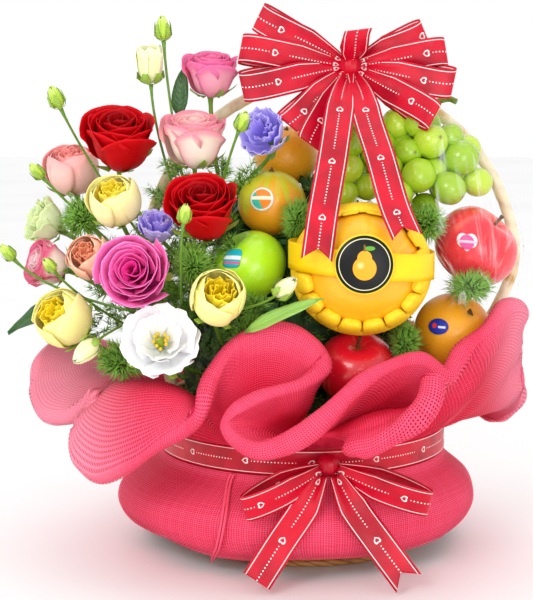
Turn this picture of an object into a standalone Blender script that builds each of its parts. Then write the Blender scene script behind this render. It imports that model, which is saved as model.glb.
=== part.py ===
"""Gift basket of fresh fruit and cut flowers, wrapped in pink mesh and tied with ribbon.

Each piece is one object. The tables are in millimetres, as fruit, flowers and ribbon are
measured, and MM turns them into Blender's metres. The origin is the middle of the
basket's foot, +Z is up and the front faces -Y. Angles are in degrees: an azimuth of 0
looks out at the front and one of 90 at +X.
"""

import math
import random

import bmesh
import bpy
import numpy as np
from mathutils import Vector
from mathutils.bvhtree import BVHTree

MM = 0.001
PART = "fruit_gift_basket"
GAP = 0.45
UP = np.array([0.0, 0.0, 1.0])

# Basket and handle
FOOT_RADIUS = 104.0
FOOT_HEIGHT = 12.0
WALL_TOP_RADIUS = 112.0
WALL_TOP = 104.0
RIM_RADIUS = 117.0
RIM_HEIGHT = 127.0
RIM_THICKNESS = 9.0
WALL = 5.0
BASKET_STEPS = 20
CANE_RADIUS = 5.5
HOOP_CENTRE = (24.0, 242.0)
HOOP_RADIUS = 163.0
HOOP_DEPTH = 17.0
HANDLE_POINTS = 22

# Mesh wrap
NECK_RADIUS = 123.5
NECK_LOW = 83.0
NECK_HIGH = 107.0
ROLL_RADIUS = 12.0
FLAP_ROLL_RADIUS = 16.0
FABRIC_HALF = 0.9
WRAP_STATIONS = 62
BELLY = [(127.0, 77.0), (151.0, 58.0), (157.0, 40.0), (149.0, 19.0), (127.0, 6.5)]
BELLY_INSIDE = [(106.0, 3.0), (114.5, 78.0)]
BELLY_LEAN = -6.0

# Ribbon
RIBBON = 25.0
RIBBON_THICK = 1.0

MATERIALS = {
    "cane": ((0.78, 0.66, 0.44), 0.6),
    "wicker": ((0.36, 0.18, 0.07), 0.65),
    "pink_mesh": ((0.92, 0.16, 0.29), 0.8),
    "red_ribbon": ((0.75, 0.01, 0.07), 0.35),
    "film": ((0.92, 0.95, 0.95), 0.05),
    "foliage": ((0.06, 0.20, 0.03), 0.7),
    "fern": ((0.10, 0.34, 0.06), 0.7),
    "leaf": ((0.04, 0.17, 0.04), 0.5),
    "bud_green": ((0.45, 0.62, 0.14), 0.5),
    "grape": ((0.48, 0.62, 0.08), 0.2),
    "orange_peel": ((0.93, 0.36, 0.02), 0.4),
    "mango_skin": ((0.72, 0.55, 0.06), 0.35),
    "green_apple_skin": ((0.40, 0.68, 0.04), 0.25),
    "red_apple_skin": ((0.70, 0.05, 0.03), 0.25),
    "pear_skin": ((0.90, 0.55, 0.06), 0.4),
    "yellow_foam": ((0.97, 0.74, 0.03), 0.7),
    "yellow_paper": ((0.98, 0.80, 0.02), 0.4),
    "dark_label": ((0.03, 0.04, 0.04), 0.3),
    "sticker": ((0.90, 0.90, 0.92), 0.3),
    "red_petal": ((0.66, 0.01, 0.02), 0.6),
    "salmon_petal": ((0.95, 0.44, 0.42), 0.6),
    "blush_petal": ((0.97, 0.78, 0.72), 0.6),
    "pink_petal": ((0.93, 0.45, 0.62), 0.6),
    "hot_pink_petal": ((0.93, 0.16, 0.55), 0.6),
    "cream_petal": ((0.97, 0.93, 0.62), 0.6),
    "peach_petal": ((0.98, 0.50, 0.32), 0.6),
    "yellow_petal": ((0.98, 0.90, 0.45), 0.6),
    "white_petal": ((0.95, 0.95, 0.97), 0.6),
    "purple_petal": ((0.56, 0.46, 0.90), 0.6),
    "pale_green_petal": ((0.86, 0.93, 0.66), 0.6),
}

# Fruit: name, centre, half sizes, kind, (azimuth, elevation) that its top faces, material
FRUIT = [
    ("orange_top", (-15, 8, 338), (28, 28, 26), "orange", (0, 75), "orange_peel"),
    ("mango", (-29, -38, 299), (29, 26, 28), "mango", (10, 80), "mango_skin"),
    ("green_apple", (-46, -72, 250), (32, 32, 29), "apple", (-70, 55), "green_apple_skin"),
    ("golden_pear", (45, -108, 253), (49, 46, 43), "pear", (0, 0), "pear_skin"),
    ("red_apple_right", (145, -42, 263), (37, 37, 33), "apple", (70, 50), "red_apple_skin"),
    ("red_apple_front", (43, -84, 166), (33, 33, 30), "apple", (0, 60), "red_apple_skin"),
    ("orange_right", (126, -56, 193), (33, 33, 32), "orange", (30, 40), "orange_peel"),
]

# Stickers: name, fruit it is stuck to, (azimuth, elevation) from the fruit's centre, radius
STICKERS = [
    ("sticker_mango", "mango", (-14, 14), 10.0),
    ("sticker_green_apple", "green_apple", (-30, 22), 8.5),
    ("sticker_red_apple", "red_apple_right", (-16, 14), 10.0),
    ("sticker_orange", "orange_right", (-28, 16), 9.0),
]

NET_HALF = (57.0, 50.5, 50.0)
NET_TABS = 16

# Grapes: centre and radius. The first ones show at the front and the rest fill the bunch.
GRAPES = [
    (79, -21, 367, 13.5), (107, -38, 353, 15.0), (133, -34, 339, 15.5), (96, -50, 325, 15.0),
    (122, -46, 314, 14.5), (148, -28, 318, 13.0), (84, -25, 346, 13.0), (71, -42, 331, 12.5),
    (78, -60, 309, 13.0), (38, -42, 352, 13.0), (37, -46, 331, 13.0), (33, -46, 309, 12.5),
    (42, -30, 368, 12.0), (54, -40, 315, 12.0), (103, -36, 297, 12.5), (56, -8, 338, 13.5),
    (60, -10, 362, 13.0), (106, -8, 366, 12.5), (112, -2, 338, 14.0),
    (86, -4, 314, 14.0), (136, -20, 326, 13.0),
]
GRAPE_CORE = ((86, -24, 337), (56, 23, 36))

# Rows of a flower head from its foot, over the rim and in to its middle:
# (height, radius, depth of the petal lobes), in units of the head's radius
ROSE = [
    (-0.88, 0.22, 0.0), (-0.56, 0.72, 0.02), (0.0, 0.95, 0.03), (0.42, 1.0, 0.07),
    (0.50, 0.88, 0.06), (0.34, 0.70, 0.0), (0.56, 0.56, 0.04), (0.42, 0.40, 0.0), (0.60, 0.24, 0.0),
]
ROSE_MIDDLE = 0.48
CUP_ROSE = [
    (-0.92, 0.16, 0.0), (-0.80, 0.46, 0.0), (-0.42, 0.84, 0.02), (0.05, 1.0, 0.03),
    (0.45, 0.92, 0.05), (0.62, 0.74, 0.05), (0.50, 0.58, 0.03), (0.60, 0.42, 0.06),
    (0.50, 0.26, 0.0),
]
CUP_MIDDLE = 0.58
OPEN_BLOOM = [
    (-0.72, 0.14, 0.0), (-0.58, 0.40, 0.0), (-0.22, 0.80, 0.05), (0.06, 1.02, 0.10),
    (0.13, 0.95, 0.10), (0.02, 0.72, 0.04), (0.18, 0.56, 0.05), (-0.02, 0.34, 0.0),
]
OPEN_MIDDLE = 0.02
BUD = [(-1.35, 0.28, 0.0), (-0.95, 0.80, 0.0), (-0.25, 1.0, 0.03), (0.55, 0.78, 0.06), (1.20, 0.34, 0.0)]
BUD_TIP = 1.55

# Blooms: name, centre of the head, radius, (azimuth, elevation) it faces, rows, middle,
# where the stem heads for, material
BLOOMS = [
    ("rose_red_upper", (-158, -30, 357), 30.0, (8, 62), ROSE, ROSE_MIDDLE, (-104, -22, 250), "red_petal"),
    ("rose_salmon", (-202, 8, 328), 25.0, (-35, 58), CUP_ROSE, CUP_MIDDLE, (-112, -16, 220), "salmon_petal"),
    ("rose_blush", (-93, -48, 358), 27.5, (0, 72), ROSE, ROSE_MIDDLE, (-84, -26, 280), "blush_petal"),
    ("rose_pink_top", (-80, -8, 412), 23.0, (5, 72), ROSE, ROSE_MIDDLE, (-70, -22, 300), "pink_petal"),
    ("rose_cream", (-158, -72, 306), 23.0, (-25, 48), CUP_ROSE, CUP_MIDDLE, (-112, -40, 220), "cream_petal"),
    ("rose_edged", (-219, -52, 251), 20.0, (-62, 12), ROSE, ROSE_MIDDLE, (-120, -30, 180), "blush_petal"),
    ("rose_peach", (-178, -86, 260), 19.5, (-32, 30), CUP_ROSE, CUP_MIDDLE, (-114, -50, 190), "peach_petal"),
    ("rose_hot_pink", (-138, -126, 253), 29.0, (-6, 16),
     ROSE, ROSE_MIDDLE, (-100, -60, 190), "hot_pink_petal"),
    ("rose_yellow_left", (-200, -100, 211), 25.0, (-42, 34),
     CUP_ROSE, CUP_MIDDLE, (-120, -50, 160), "yellow_petal"),
    ("rose_yellow_right", (-70, -148, 235), 23.5, (12, 38),
     CUP_ROSE, CUP_MIDDLE, (-62, -80, 180), "yellow_petal"),
    ("rose_red_centre", (-84, -98, 303), 28.5, (-4, 52), ROSE, ROSE_MIDDLE, (-98, -50, 225), "red_petal"),
    ("lisianthus_white", (-117, -148, 201), 29.5, (2, 30),
     OPEN_BLOOM, OPEN_MIDDLE, (-84, -76, 160), "white_petal"),
    ("lisianthus_pale", (-226, -8, 283), 20.0, (-70, 30),
     CUP_ROSE, CUP_MIDDLE, (-116, -20, 190), "pale_green_petal"),
    ("lisianthus_purple_top", (-34, -60, 361), 20.0, (-25, 24),
     OPEN_BLOOM, OPEN_MIDDLE, (-76, -24, 300), "purple_petal"),
    ("lisianthus_purple_low", (-123, -78, 285), 15.5, (10, 60),
     OPEN_BLOOM, OPEN_MIDDLE, (-100, -40, 215), "purple_petal"),
]

# Buds: name, centre, radius, (azimuth, elevation) of the tip, where the stem heads for
BUDS = [
    ("bud_large", (-132, -6, 415), 11.0, (-8, 82), (-104, -14, 290)),
    ("bud_tall", (-121, -4, 447), 7.0, (-15, 80), (-98, -14, 290)),
    ("bud_left_tall", (-210, -34, 389), 7.0, (-38, 58), (-118, -20, 240)),
    ("bud_left_mid", (-227, -34, 327), 5.5, (-62, 46), (-130, -14, 230)),
    ("bud_left_low", (-246, -82, 263), 5.5, (-60, 48), (-140, -84, 215)),
    ("bud_purple", (-52, -88, 371), 6.0, (40, 58), (-76, -30, 290)),
    ("bud_red", (-97, -142, 300), 5.5, (25, 70), (-100, -112, 222)),
    ("bud_lower", (-176, -138, 191), 9.5, (-35, -25), (-120, -90, 215)),
    ("bud_edged", (-208, -112, 256), 5.0, (-40, 45), (-150, -60, 200)),
    ("bud_right", (-18, -152, 243), 8.0, (48, 36), (-58, -122, 222)),
]

# Ferns: name, centre, half sizes
FERNS = [
    ("fern_left", (-188, -42, 289), (20, 17, 17)),
    ("fern_middle", (-92, -104, 256), (15, 11, 18)),
    ("fern_mango", (-6, -76, 291), (13, 12, 17)),
    ("fern_grape", (100, -76, 289), (15, 14, 15)),
    ("fern_apple", (136, -90, 236), (20, 14, 12)),
    ("fern_pear_low", (83, -92, 190), (11, 12, 20)),
    ("fern_below", (-44, -108, 194), (19, 13, 20)),
    ("fern_low_left", (-150, -106, 178), (26, 14, 18)),
]

# Leaves: name, foot, tip, width, (azimuth, elevation) that the face looks at
LEAVES = [
    ("leaf_left", (-196, -58, 222), (-252, -72, 203), 22.0, (-20, 55)),
    ("leaf_top", (-109, 12, 372), (-106, 10, 415), 15.0, (-10, 8)),
    ("leaf_right", (-50, -140, 205), (4, -166, 242), 13.0, (-10, 40)),
]

# Edge roll of the mesh wrap, at the front: the neck's azimuth where the sheet starts, the
# middle of the roll, and how far the sheet arches up between the two
FRONT_ROLL = [
    (-103, (-216, -4, 170), 12), (-95, (-226, -36, 145), 28), (-87, (-214, -66, 129), 34),
    (-80, (-193, -88, 131), 30), (-73, (-172, -96, 146), 12), (-67, (-184, -112, 124), 34),
    (-60, (-184, -130, 104), 52), (-53, (-164, -148, 95), 60), (-46, (-137, -160, 109), 54),
    (-39, (-108, -166, 130), 36), (-32, (-84, -158, 146), 14), (-26, (-74, -140, 165), 2),
    (-21, (-55, -134, 191), 0), (-16, (-29, -132, 203), 0), (-12, (-4, -134, 194), 0),
    (-8, (11, -141, 176), 0), (-5, (-4, -154, 162), 2), (-2, (-36, -168, 156), 4),
    (1, (-60, -182, 140), 6), (4, (-36, -193, 124), 8), (7, (-2, -189, 134), 6),
    (11, (30, -174, 158), 2), (16, (58, -160, 176), 0), (22, (88, -148, 181), 0),
    (31, (108, -138, 166), 0), (42, (127, -118, 183), -4), (52, (149, -106, 200), -8),
    (61, (167, -84, 212), -8), (70, (180, -60, 202), -4), (78, (179, -46, 176), 8),
    (86, (186, -32, 147), 18), (94, (185, -16, 124), 28), (103, (172, 2, 110), 30),
    (112, (160, 24, 116), 24),
]
# Edge roll at the back, which has the same lobes at an even spacing
BACK_LOBES = 4
BACK_STATIONS = 17
BACK_REACH = (178.0, 15.0)
BACK_HEIGHT = (148.0, -20.0)
BACK_ARCH = (16.0, 8.0)
BACK_SWING = 5.0

# The wrap's outer end, a flap that folds back over itself at the front right. It leaves the
# collar's cloth at FLAP_SEAT of the way from the neck to the collar's roll.
FLAP = [
    (31, (98, -166, 167), 0), (28, (92, -178, 156), 3), (24, (76, -188, 142), 6),
    (18, (52, -194, 131), 8), (13, (31, -196, 124), 8),
]
FLAP_STATIONS = 10
FLAP_SEAT = 0.44
# How far the cloth stands out for each unit of a downward arch
SAG = 2.5

# Bows: (tip of the loop, thickness of the loop, turn of its face about its length)
TOP_KNOT = (40.0, -5.0, 416.0)
TIE_RADIUS = 7.0
TIE_REACH = 15.0
TIE_WIDTH = 14.0
TOP_LOOPS = [
    ((-39, -22, 458), 20, 12), ((-54, -30, 431), 22, -8), ((-53, -40, 399), 20, 6),
    ((-14, -52, 368), 15, 16), ((4, -62, 352), 13, -12), ((45, -30, 446), 12, 60),
    ((103, -18, 444), 18, -10), ((120, -28, 428), 22, 8), ((125, -42, 402), 20, -6),
    ((108, -54, 374), 13, 10),
]
TOP_TAILS = [
    [(38, -12, 410), (32, -46, 396), (27, -74, 372), (21, -102, 340), (13, -134, 302), (7, -160, 266)],
    [(42, -12, 410), (47, -46, 396), (52, -74, 372), (60, -104, 344), (69, -136, 308), (78, -160, 284)],
]
FRONT_KNOT = (18.0, -138.0, 97.0)
FRONT_LOOPS = [((-50, -168, 68), 26, -24), ((98, -166, 72), 26, 24)]
FRONT_TAILS = [
    [(12, -146, 90), (-2, -158, 66), (-20, -170, 42), (-40, -178, 12)],
    [(24, -146, 90), (38, -158, 66), (58, -170, 40), (81, -178, 10)],
]
NOTCH = 11.0

# Film
FILM_LEFT = 107.0
FILM_BACK = 8.0
FILM_LOW = 224.0
FILM_CLEAR = 4.0
FILM_THICK = 0.6

# The leafy filling's mound, and how clear it stays of what lies on it
MOUND_MIDDLE = (-6.0, 14.0, 150.0)
MOUND_LOW = (104.0, 112.0, 137.0)
MOUND_HIGH = (104.0, 104.0, 176.0)
MOUND_CLEAR = 6.5

# Foam cup: gap round the pear, depth of the grooves between its tabs, and its rows as
# (angle from the back, share of the way from the inner to the outer skin, reach of tabs)
NET_INSIDE_GAP = 3.4
NET_GROOVE = 0.16
NET_ROWS = [
    (0.0, 1.0, 0.0), (46.0, 1.0, 0.0), (86.0, 1.02, 2.0), (103.0, 0.95, 8.0), (112.0, 0.45, 9.0),
    (104.0, 0.05, 8.0), (80.0, 0.0, 0.0), (40.0, 0.0, 0.0), (0.0, 0.0, 0.0),
]

# Paper band and round label of the pear
BAND_HEIGHT = 22.0
BAND_THICK = 0.7
BAND_SLANT = 3.0
BAND_RAISE = 4.0
BAND_CLEAR_SIDE = 2.2
BAND_CLEAR_FACE = 2.5
LABEL_RADII = (0.0, 13.0, 24.0)
LABEL_THICK = 0.8
LABEL_MIDDLE = (3.0, 4.0)
LABEL_BULGE = (62.0, 47.9, 70.0)

# Broad leaves: how far a blade bows, as a share of its length
LEAF_BOW = 0.10

# Bow loops: angle where the strip leaves the knot, how full it is, and its width there
LOOP_START = 0.62
LOOP_FULLNESS = 0.6
LOOP_PINCH = 0.28
LOOP_SPREAD = 1.5


def clear_scene():
    """Removes every object, so that the file holds only the basket."""
    for item in list(bpy.data.objects):
        bpy.data.objects.remove(item, do_unlink=True)


def new_collection(name):
    """A collection linked to the scene."""
    made = bpy.data.collections.new(name)
    bpy.context.scene.collection.children.link(made)
    return made


def material(slot):
    """The Principled material of a slot, made once."""
    found = bpy.data.materials.get(slot)
    if found:
        return found
    colour, roughness = MATERIALS[slot]
    made = bpy.data.materials.new(slot)
    made.use_nodes = True
    shader = made.node_tree.nodes["Principled BSDF"]
    shader.inputs["Base Color"].default_value = (*colour, 1.0)
    shader.inputs["Roughness"].default_value = roughness
    shader.inputs["Metallic"].default_value = 0.0
    made.diffuse_color = (*colour, 1.0)
    return made


def add_object(name, mesh, slot, collection):
    """Links a mesh as a smooth-shaded object with its material."""
    mesh.materials.clear()
    mesh.materials.append(material(slot))
    mesh.shade_smooth()
    made = bpy.data.objects.new(name, mesh)
    collection.objects.link(made)
    return made


def unit(vectors):
    """Vectors scaled to length one along their last axis."""
    vectors = np.asarray(vectors, float)
    return vectors / np.maximum(np.linalg.norm(vectors, axis=-1, keepdims=True), 1e-12)


def direction(azimuth, elevation):
    """Unit vector of an azimuth and elevation."""
    a, e = math.radians(azimuth), math.radians(elevation)
    return np.array([math.sin(a) * math.cos(e), -math.cos(a) * math.cos(e), math.sin(e)])


def frame_of(axis):
    """Two unit vectors square to axis and to each other; the first is level."""
    axis = unit(axis)
    level = np.cross(UP, axis)
    if np.linalg.norm(level) < 1e-6:
        level = np.array([1.0, 0.0, 0.0])
    level = unit(level)
    return level, np.cross(axis, level)


def smooth_line(points, count, closed=False):
    """Points read evenly from a Catmull-Rom curve through a list of points."""
    points = np.asarray(points, float)
    last = len(points) if closed else len(points) - 1
    at = np.linspace(0, last, count, endpoint=not closed)
    first = np.minimum(np.floor(at).astype(int), last - 1)
    share = (at - first)[:, None]
    if closed:
        p = [points[(first + k) % len(points)] for k in (-1, 0, 1, 2)]
    else:
        padded = np.vstack([2 * points[0] - points[1], points, 2 * points[-1] - points[-2]])
        p = [padded[first + k] for k in (0, 1, 2, 3)]
    return 0.5 * (
        2 * p[1]
        + (p[2] - p[0]) * share
        + (2 * p[0] - 5 * p[1] + 4 * p[2] - p[3]) * share**2
        + (3 * p[1] - p[0] - 3 * p[2] + p[3]) * share**3
    )


def turn_outward(work):
    """Points every face out: a closed mesh that comes out inside out has a negative volume."""
    bmesh.ops.recalc_face_normals(work, faces=work.faces)
    if work.calc_volume(signed=True) < 0:
        bmesh.ops.reverse_faces(work, faces=work.faces)


def ball_grid(name, columns, rings, place, slot, collection):
    """A UV sphere whose points move to place(turn, row), in millimetres.

    turn is the angle round the sphere's axis and row counts the rings from its lower
    pole, which is 0, to its upper pole, which is rings + 1.
    """
    work = bmesh.new()
    bmesh.ops.create_uvsphere(work, u_segments=columns, v_segments=rings + 1, radius=1.0)
    unit_points = np.array([v.co[:] for v in work.verts])
    turn = np.arctan2(unit_points[:, 1], unit_points[:, 0])
    level = np.arccos(np.clip(-unit_points[:, 2], -1.0, 1.0)) / math.pi
    row = np.rint(level * (rings + 1)).astype(int)
    for vertex, point in zip(work.verts, place(turn, row) * MM):
        vertex.co = point
    turn_outward(work)
    mesh = bpy.data.meshes.new(name)
    work.to_mesh(mesh)
    work.free()
    return add_object(name, mesh, slot, collection)


def loft(name, sections, slot, collection, closed):
    """A solid through sections of equal counts of points, in millimetres.

    sections is an array of (section, point, 3). A closed loft joins its last section to
    its first, and an open one has a flat cap at each end.
    """
    stations, count = sections.shape[:2]
    mesh = bpy.data.meshes.new(name)
    work = bmesh.new()
    rows = [[work.verts.new(point) for point in section * MM] for section in sections]
    for i in range(stations if closed else stations - 1):
        here, ahead = rows[i], rows[(i + 1) % stations]
        for j in range(count):
            k = (j + 1) % count
            work.faces.new((here[j], here[k], ahead[k], ahead[j]))
    if not closed:
        work.faces.new(rows[0])
        work.faces.new(rows[-1])
    turn_outward(work)
    work.to_mesh(mesh)
    work.free()
    return add_object(name, mesh, slot, collection)


def union(core, others, solver="MANIFOLD"):
    """Joins the other objects to core with one Boolean on a collection, and applies it."""
    joined = new_collection(core.name + "_joined")
    for item in others:
        for holder in list(item.users_collection):
            holder.objects.unlink(item)
        joined.objects.link(item)
    boolean = core.modifiers.new("join", "BOOLEAN")
    boolean.operation = "UNION"
    boolean.operand_type = "COLLECTION"
    boolean.collection = joined
    boolean.solver = solver
    bpy.context.view_layer.update()
    graph = bpy.context.evaluated_depsgraph_get()
    mesh = bpy.data.meshes.new_from_object(core.evaluated_get(graph))
    core.modifiers.remove(boolean)
    core.data = mesh
    mesh.shade_smooth()
    for item in list(joined.objects):
        bpy.data.objects.remove(item, do_unlink=True)
    bpy.data.collections.remove(joined)
    return core


def tree_of(item):
    """A ray-casting tree of an object's evaluated mesh."""
    graph = bpy.context.evaluated_depsgraph_get()
    return BVHTree.FromObject(item, graph)


def build_basket(parts):
    """The wicker bowl: a turned wall with a flat foot and a thick rim."""
    half = RIM_THICKNESS / 2
    rim = [
        (RIM_RADIUS + half * math.cos(a), RIM_HEIGHT + half * math.sin(a))
        for a in np.radians([200, 135, 70, 0, -60])
    ]
    profile = (
        rim
        + [(WALL_TOP_RADIUS, WALL_TOP), (FOOT_RADIUS, FOOT_HEIGHT), (FOOT_RADIUS, 0.0), (0.0, 0.0)]
        + [(0.0, FOOT_HEIGHT - WALL), (FOOT_RADIUS - WALL, FOOT_HEIGHT), (WALL_TOP_RADIUS - WALL, WALL_TOP)]
    )
    mesh = bpy.data.meshes.new("basket")
    points = [(r * MM, 0.0, z * MM) for r, z in profile]
    mesh.from_pydata(points, [(i, (i + 1) % len(points)) for i in range(len(points))], [])
    basket = add_object("basket", mesh, "wicker", parts)
    screw = basket.modifiers.new("turn", "SCREW")
    screw.steps = screw.render_steps = BASKET_STEPS
    screw.use_merge_vertices = True
    screw.merge_threshold = 0.0001
    screw.use_normal_calculate = True


def handle_line():
    """Points of the cane hoop, from the rim at the left over the top to the right."""
    foot = RIM_HEIGHT + RIM_THICKNESS / 2 + CANE_RADIUS * 0.4
    cx, cz = HOOP_CENTRE
    arc = [
        (cx - HOOP_RADIUS * math.cos(a), HOOP_DEPTH, cz + HOOP_RADIUS * math.sin(a))
        for a in np.radians(np.linspace(0, 180, 9))
    ]
    left = [(-RIM_RADIUS, HOOP_DEPTH, foot), (-126.0, HOOP_DEPTH, 172.0)]
    right = [(156.0, HOOP_DEPTH, 176.0), (RIM_RADIUS, HOOP_DEPTH, foot)]
    return smooth_line(left + arc + right, HANDLE_POINTS)


def build_handle(parts):
    """The cane hoop, a round tube along its line."""
    line = handle_line()
    curve = bpy.data.curves.new("handle", "CURVE")
    curve.dimensions = "3D"
    curve.bevel_depth = CANE_RADIUS * MM
    curve.bevel_resolution = 2
    curve.use_fill_caps = True
    spline = curve.splines.new("POLY")
    spline.points.add(len(line) - 1)
    for point, place in zip(spline.points, line):
        point.co = (*(place * MM), 1.0)
    curve.materials.append(material("cane"))
    handle = bpy.data.objects.new("handle", curve)
    parts.objects.link(handle)


def obstacles():
    """Balls that stand for what lies on the foliage: (centre, radius)."""
    balls = [(np.array(c, float), max(r)) for _, c, r, *_ in FRUIT]
    balls.append((np.array(FRUIT[3][1], float), max(NET_HALF)))
    balls += [(np.array(g[:3], float), g[3]) for g in GRAPES]
    middle, half = (np.array(v, float) for v in GRAPE_CORE)
    balls += [(middle + np.array([x, 0.0, 0.0]) * half[0], half[2] * 0.9) for x in (-0.5, 0.0, 0.5)]
    balls += [(np.array(b[1], float), b[2]) for b in BLOOMS]
    balls += [(np.array(f[1], float), max(f[2])) for f in FERNS]
    balls += [(point, CANE_RADIUS) for point in handle_line()]
    return balls


def build_foliage(parts):
    """The leafy filling: a mound in the basket, hollowed behind what lies on it.

    Each point goes out from the mound's middle as far as the mound's own size, the basket
    or the nearest piece lets it.
    """
    middle = np.array(MOUND_MIDDLE)
    half_low, half_high = np.array(MOUND_LOW), np.array(MOUND_HIGH)
    columns, rings = 20, 12
    lumps = random.Random(5)
    lump = np.array([[lumps.uniform(0.90, 1.04) for _ in range(columns)] for _ in range(rings + 2)])

    def place(turn, row):
        level = row / (rings + 1) * math.pi
        out = np.stack([np.sin(level) * np.cos(turn), np.sin(level) * np.sin(turn), -np.cos(level)], 1)
        column = np.rint(turn / (2 * math.pi) * columns).astype(int) % columns
        half = np.where(out[:, 2:] > 0, half_high, half_low)
        reach = 1.0 / np.linalg.norm(out / half, axis=1) * lump[row, column]
        for centre, radius in obstacles():
            to = centre - middle
            along = out @ to
            miss = to @ to - along**2
            room = (radius + MOUND_CLEAR) ** 2 - miss
            hit = along - np.sqrt(np.maximum(room, 0.0))
            reach = np.where((room > 0) & (along > 0), np.minimum(reach, hit), reach)
        points = middle + out * np.maximum(reach, 12.0)[:, None]
        points[:, 2] = np.maximum(points[:, 2], FOOT_HEIGHT + 1.0)
        within = np.interp(
            points[:, 2],
            [FOOT_HEIGHT, WALL_TOP, RIM_HEIGHT + RIM_THICKNESS],
            [FOOT_RADIUS - WALL - 3, WALL_TOP_RADIUS - WALL - 3, RIM_RADIUS - RIM_THICKNESS / 2 - 3],
        )
        far = np.hypot(points[:, 0], points[:, 1])
        below = points[:, 2] < RIM_HEIGHT + RIM_THICKNESS * 1.4
        shrink = np.where(below & (far > within), within / np.maximum(far, 1e-6), 1.0)
        points[:, :2] *= shrink[:, None]
        return points

    return ball_grid("foliage", columns, rings, place, "foliage", parts)


def fruit_reach(kind, polar, turn):
    """How far a fruit's skin stands from its middle, as a share of its half size.

    polar is 0 at the fruit's top. An apple dips at both ends and stands on five lobes, an
    orange dips a little at its top, and a mango narrows at one end.
    """
    if kind == "apple":
        top = 0.30 * np.exp(-((polar / 0.36) ** 2))
        foot = (0.20 + 0.04 * np.cos(5 * turn)) * np.exp(-(((math.pi - polar) / 0.34) ** 2))
        return 1.0 - top - foot + 0.05 * np.cos(polar)
    if kind == "orange":
        return 1.0 - 0.07 * np.exp(-((polar / 0.22) ** 2)) - 0.03 * np.exp(-(((math.pi - polar) / 0.25) ** 2))
    if kind == "mango":
        return 1.0 + 0.07 * np.cos(polar) + 0.05 * np.sin(polar) * np.cos(turn)
    return 1.0 - 0.10 * np.exp(-(((math.pi - polar) / 0.3) ** 2)) - 0.03 * np.exp(-((polar / 0.35) ** 2))


def fruit_point(fruit, polar, turn):
    """A point of a fruit's skin, in millimetres."""
    _, centre, half, kind, face, _ = fruit
    axis = direction(*face)
    level, across = frame_of(axis)
    reach = fruit_reach(kind, polar, turn)
    local = np.stack([np.sin(polar) * np.cos(turn), np.sin(polar) * np.sin(turn), np.cos(polar)], -1)
    local = local * np.array(half, float) * reach[..., None]
    return np.array(centre, float) + local @ np.stack([level, across, axis])


def build_fruit(parts):
    """Apples, oranges, mango and pear, each from a ball with its own dips."""
    columns, rings = 14, 8
    for fruit in FRUIT:
        ball_grid(
            fruit[0],
            columns,
            rings,
            lambda turn, row, fruit=fruit: fruit_point(fruit, math.pi * (1 - row / (rings + 1)), turn),
            fruit[5],
            parts,
        )


def disc_rows(radii, lift, thick):
    """Rows of a thin disc from its underside's middle to its top's: (radius, lift)."""
    return [(r, lift) for r in radii] + [(r, lift + thick) for r in radii[::-1]]


def build_stickers(parts):
    """Round paper stickers that follow the skin they are stuck to."""
    by_name = {fruit[0]: fruit for fruit in FRUIT}
    for name, on, aim, radius in STICKERS:
        fruit = by_name[on]
        axis = direction(*fruit[4])
        level, across = frame_of(axis)
        normal = direction(*aim)
        right, up = frame_of(normal)
        size = float(np.mean(fruit[2]))
        rows = disc_rows((0.0, radius), 1.1, 0.6)

        def place(turn, row):
            spread = np.array([r for r, _ in rows])[row] / size
            lift = np.array([h for _, h in rows])[row]
            out = (
                normal * np.cos(spread)[:, None]
                + (right * np.cos(turn)[:, None] + up * np.sin(turn)[:, None]) * np.sin(spread)[:, None]
            )
            polar = np.arccos(np.clip(out @ axis, -1, 1))
            around = np.arctan2(out @ across, out @ level)
            skin = fruit_point(fruit, polar, around)
            return skin + unit(skin - np.array(fruit[1], float)) * lift[:, None]

        ball_grid(name, 10, len(rows) - 2, place, "sticker", parts)


def build_net(parts):
    """The foam cup round the pear: a thick bowl, open to the front, with rounded tabs."""
    centre = np.array(FRUIT[3][1], float)
    pear = np.array([FRUIT[3][2][0], FRUIT[3][2][1], FRUIT[3][2][2]], float)
    outer, inner = np.array(NET_HALF, float), pear + NET_INSIDE_GAP

    def place(turn, row):
        table = np.array(NET_ROWS)[row]
        tab = np.cos(NET_TABS * turn)
        angle = np.radians(table[:, 0] + table[:, 2] * tab)
        notch = NET_GROOVE * (table[:, 2] > 0) * (tab - 1)
        share = (table[:, 1] * (1 + notch))[:, None]
        half = inner + (outer - inner) * share
        out = np.stack([np.sin(angle) * np.cos(turn), np.sin(angle) * np.sin(turn), np.cos(angle)], 1)
        return centre + (out * half) @ np.array([[1.0, 0, 0], [0, 0, 1.0], [0, 1.0, 0]])

    ball_grid("pear_net", 2 * NET_TABS, len(NET_ROWS) - 2, place, "yellow_foam", parts)


def strip_sections(centres, across, normal, width, thick, columns=2, notch=0.0):
    """Sections of a flat strip: across is its width's direction and normal its face's."""
    offsets = np.linspace(-0.5, 0.5, columns)
    width = np.broadcast_to(width, (len(centres),))[:, None]
    top = [centres + across * width * s + normal * thick / 2 for s in offsets]
    low = [centres + across * width * s - normal * thick / 2 for s in offsets[::-1]]
    sections = np.stack(top + low, 1)
    if notch:
        ahead = unit(centres[-1] - centres[-2]) * notch
        middle = columns // 2
        sections[-1, [middle, middle + columns]] -= ahead
    return sections


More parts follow.
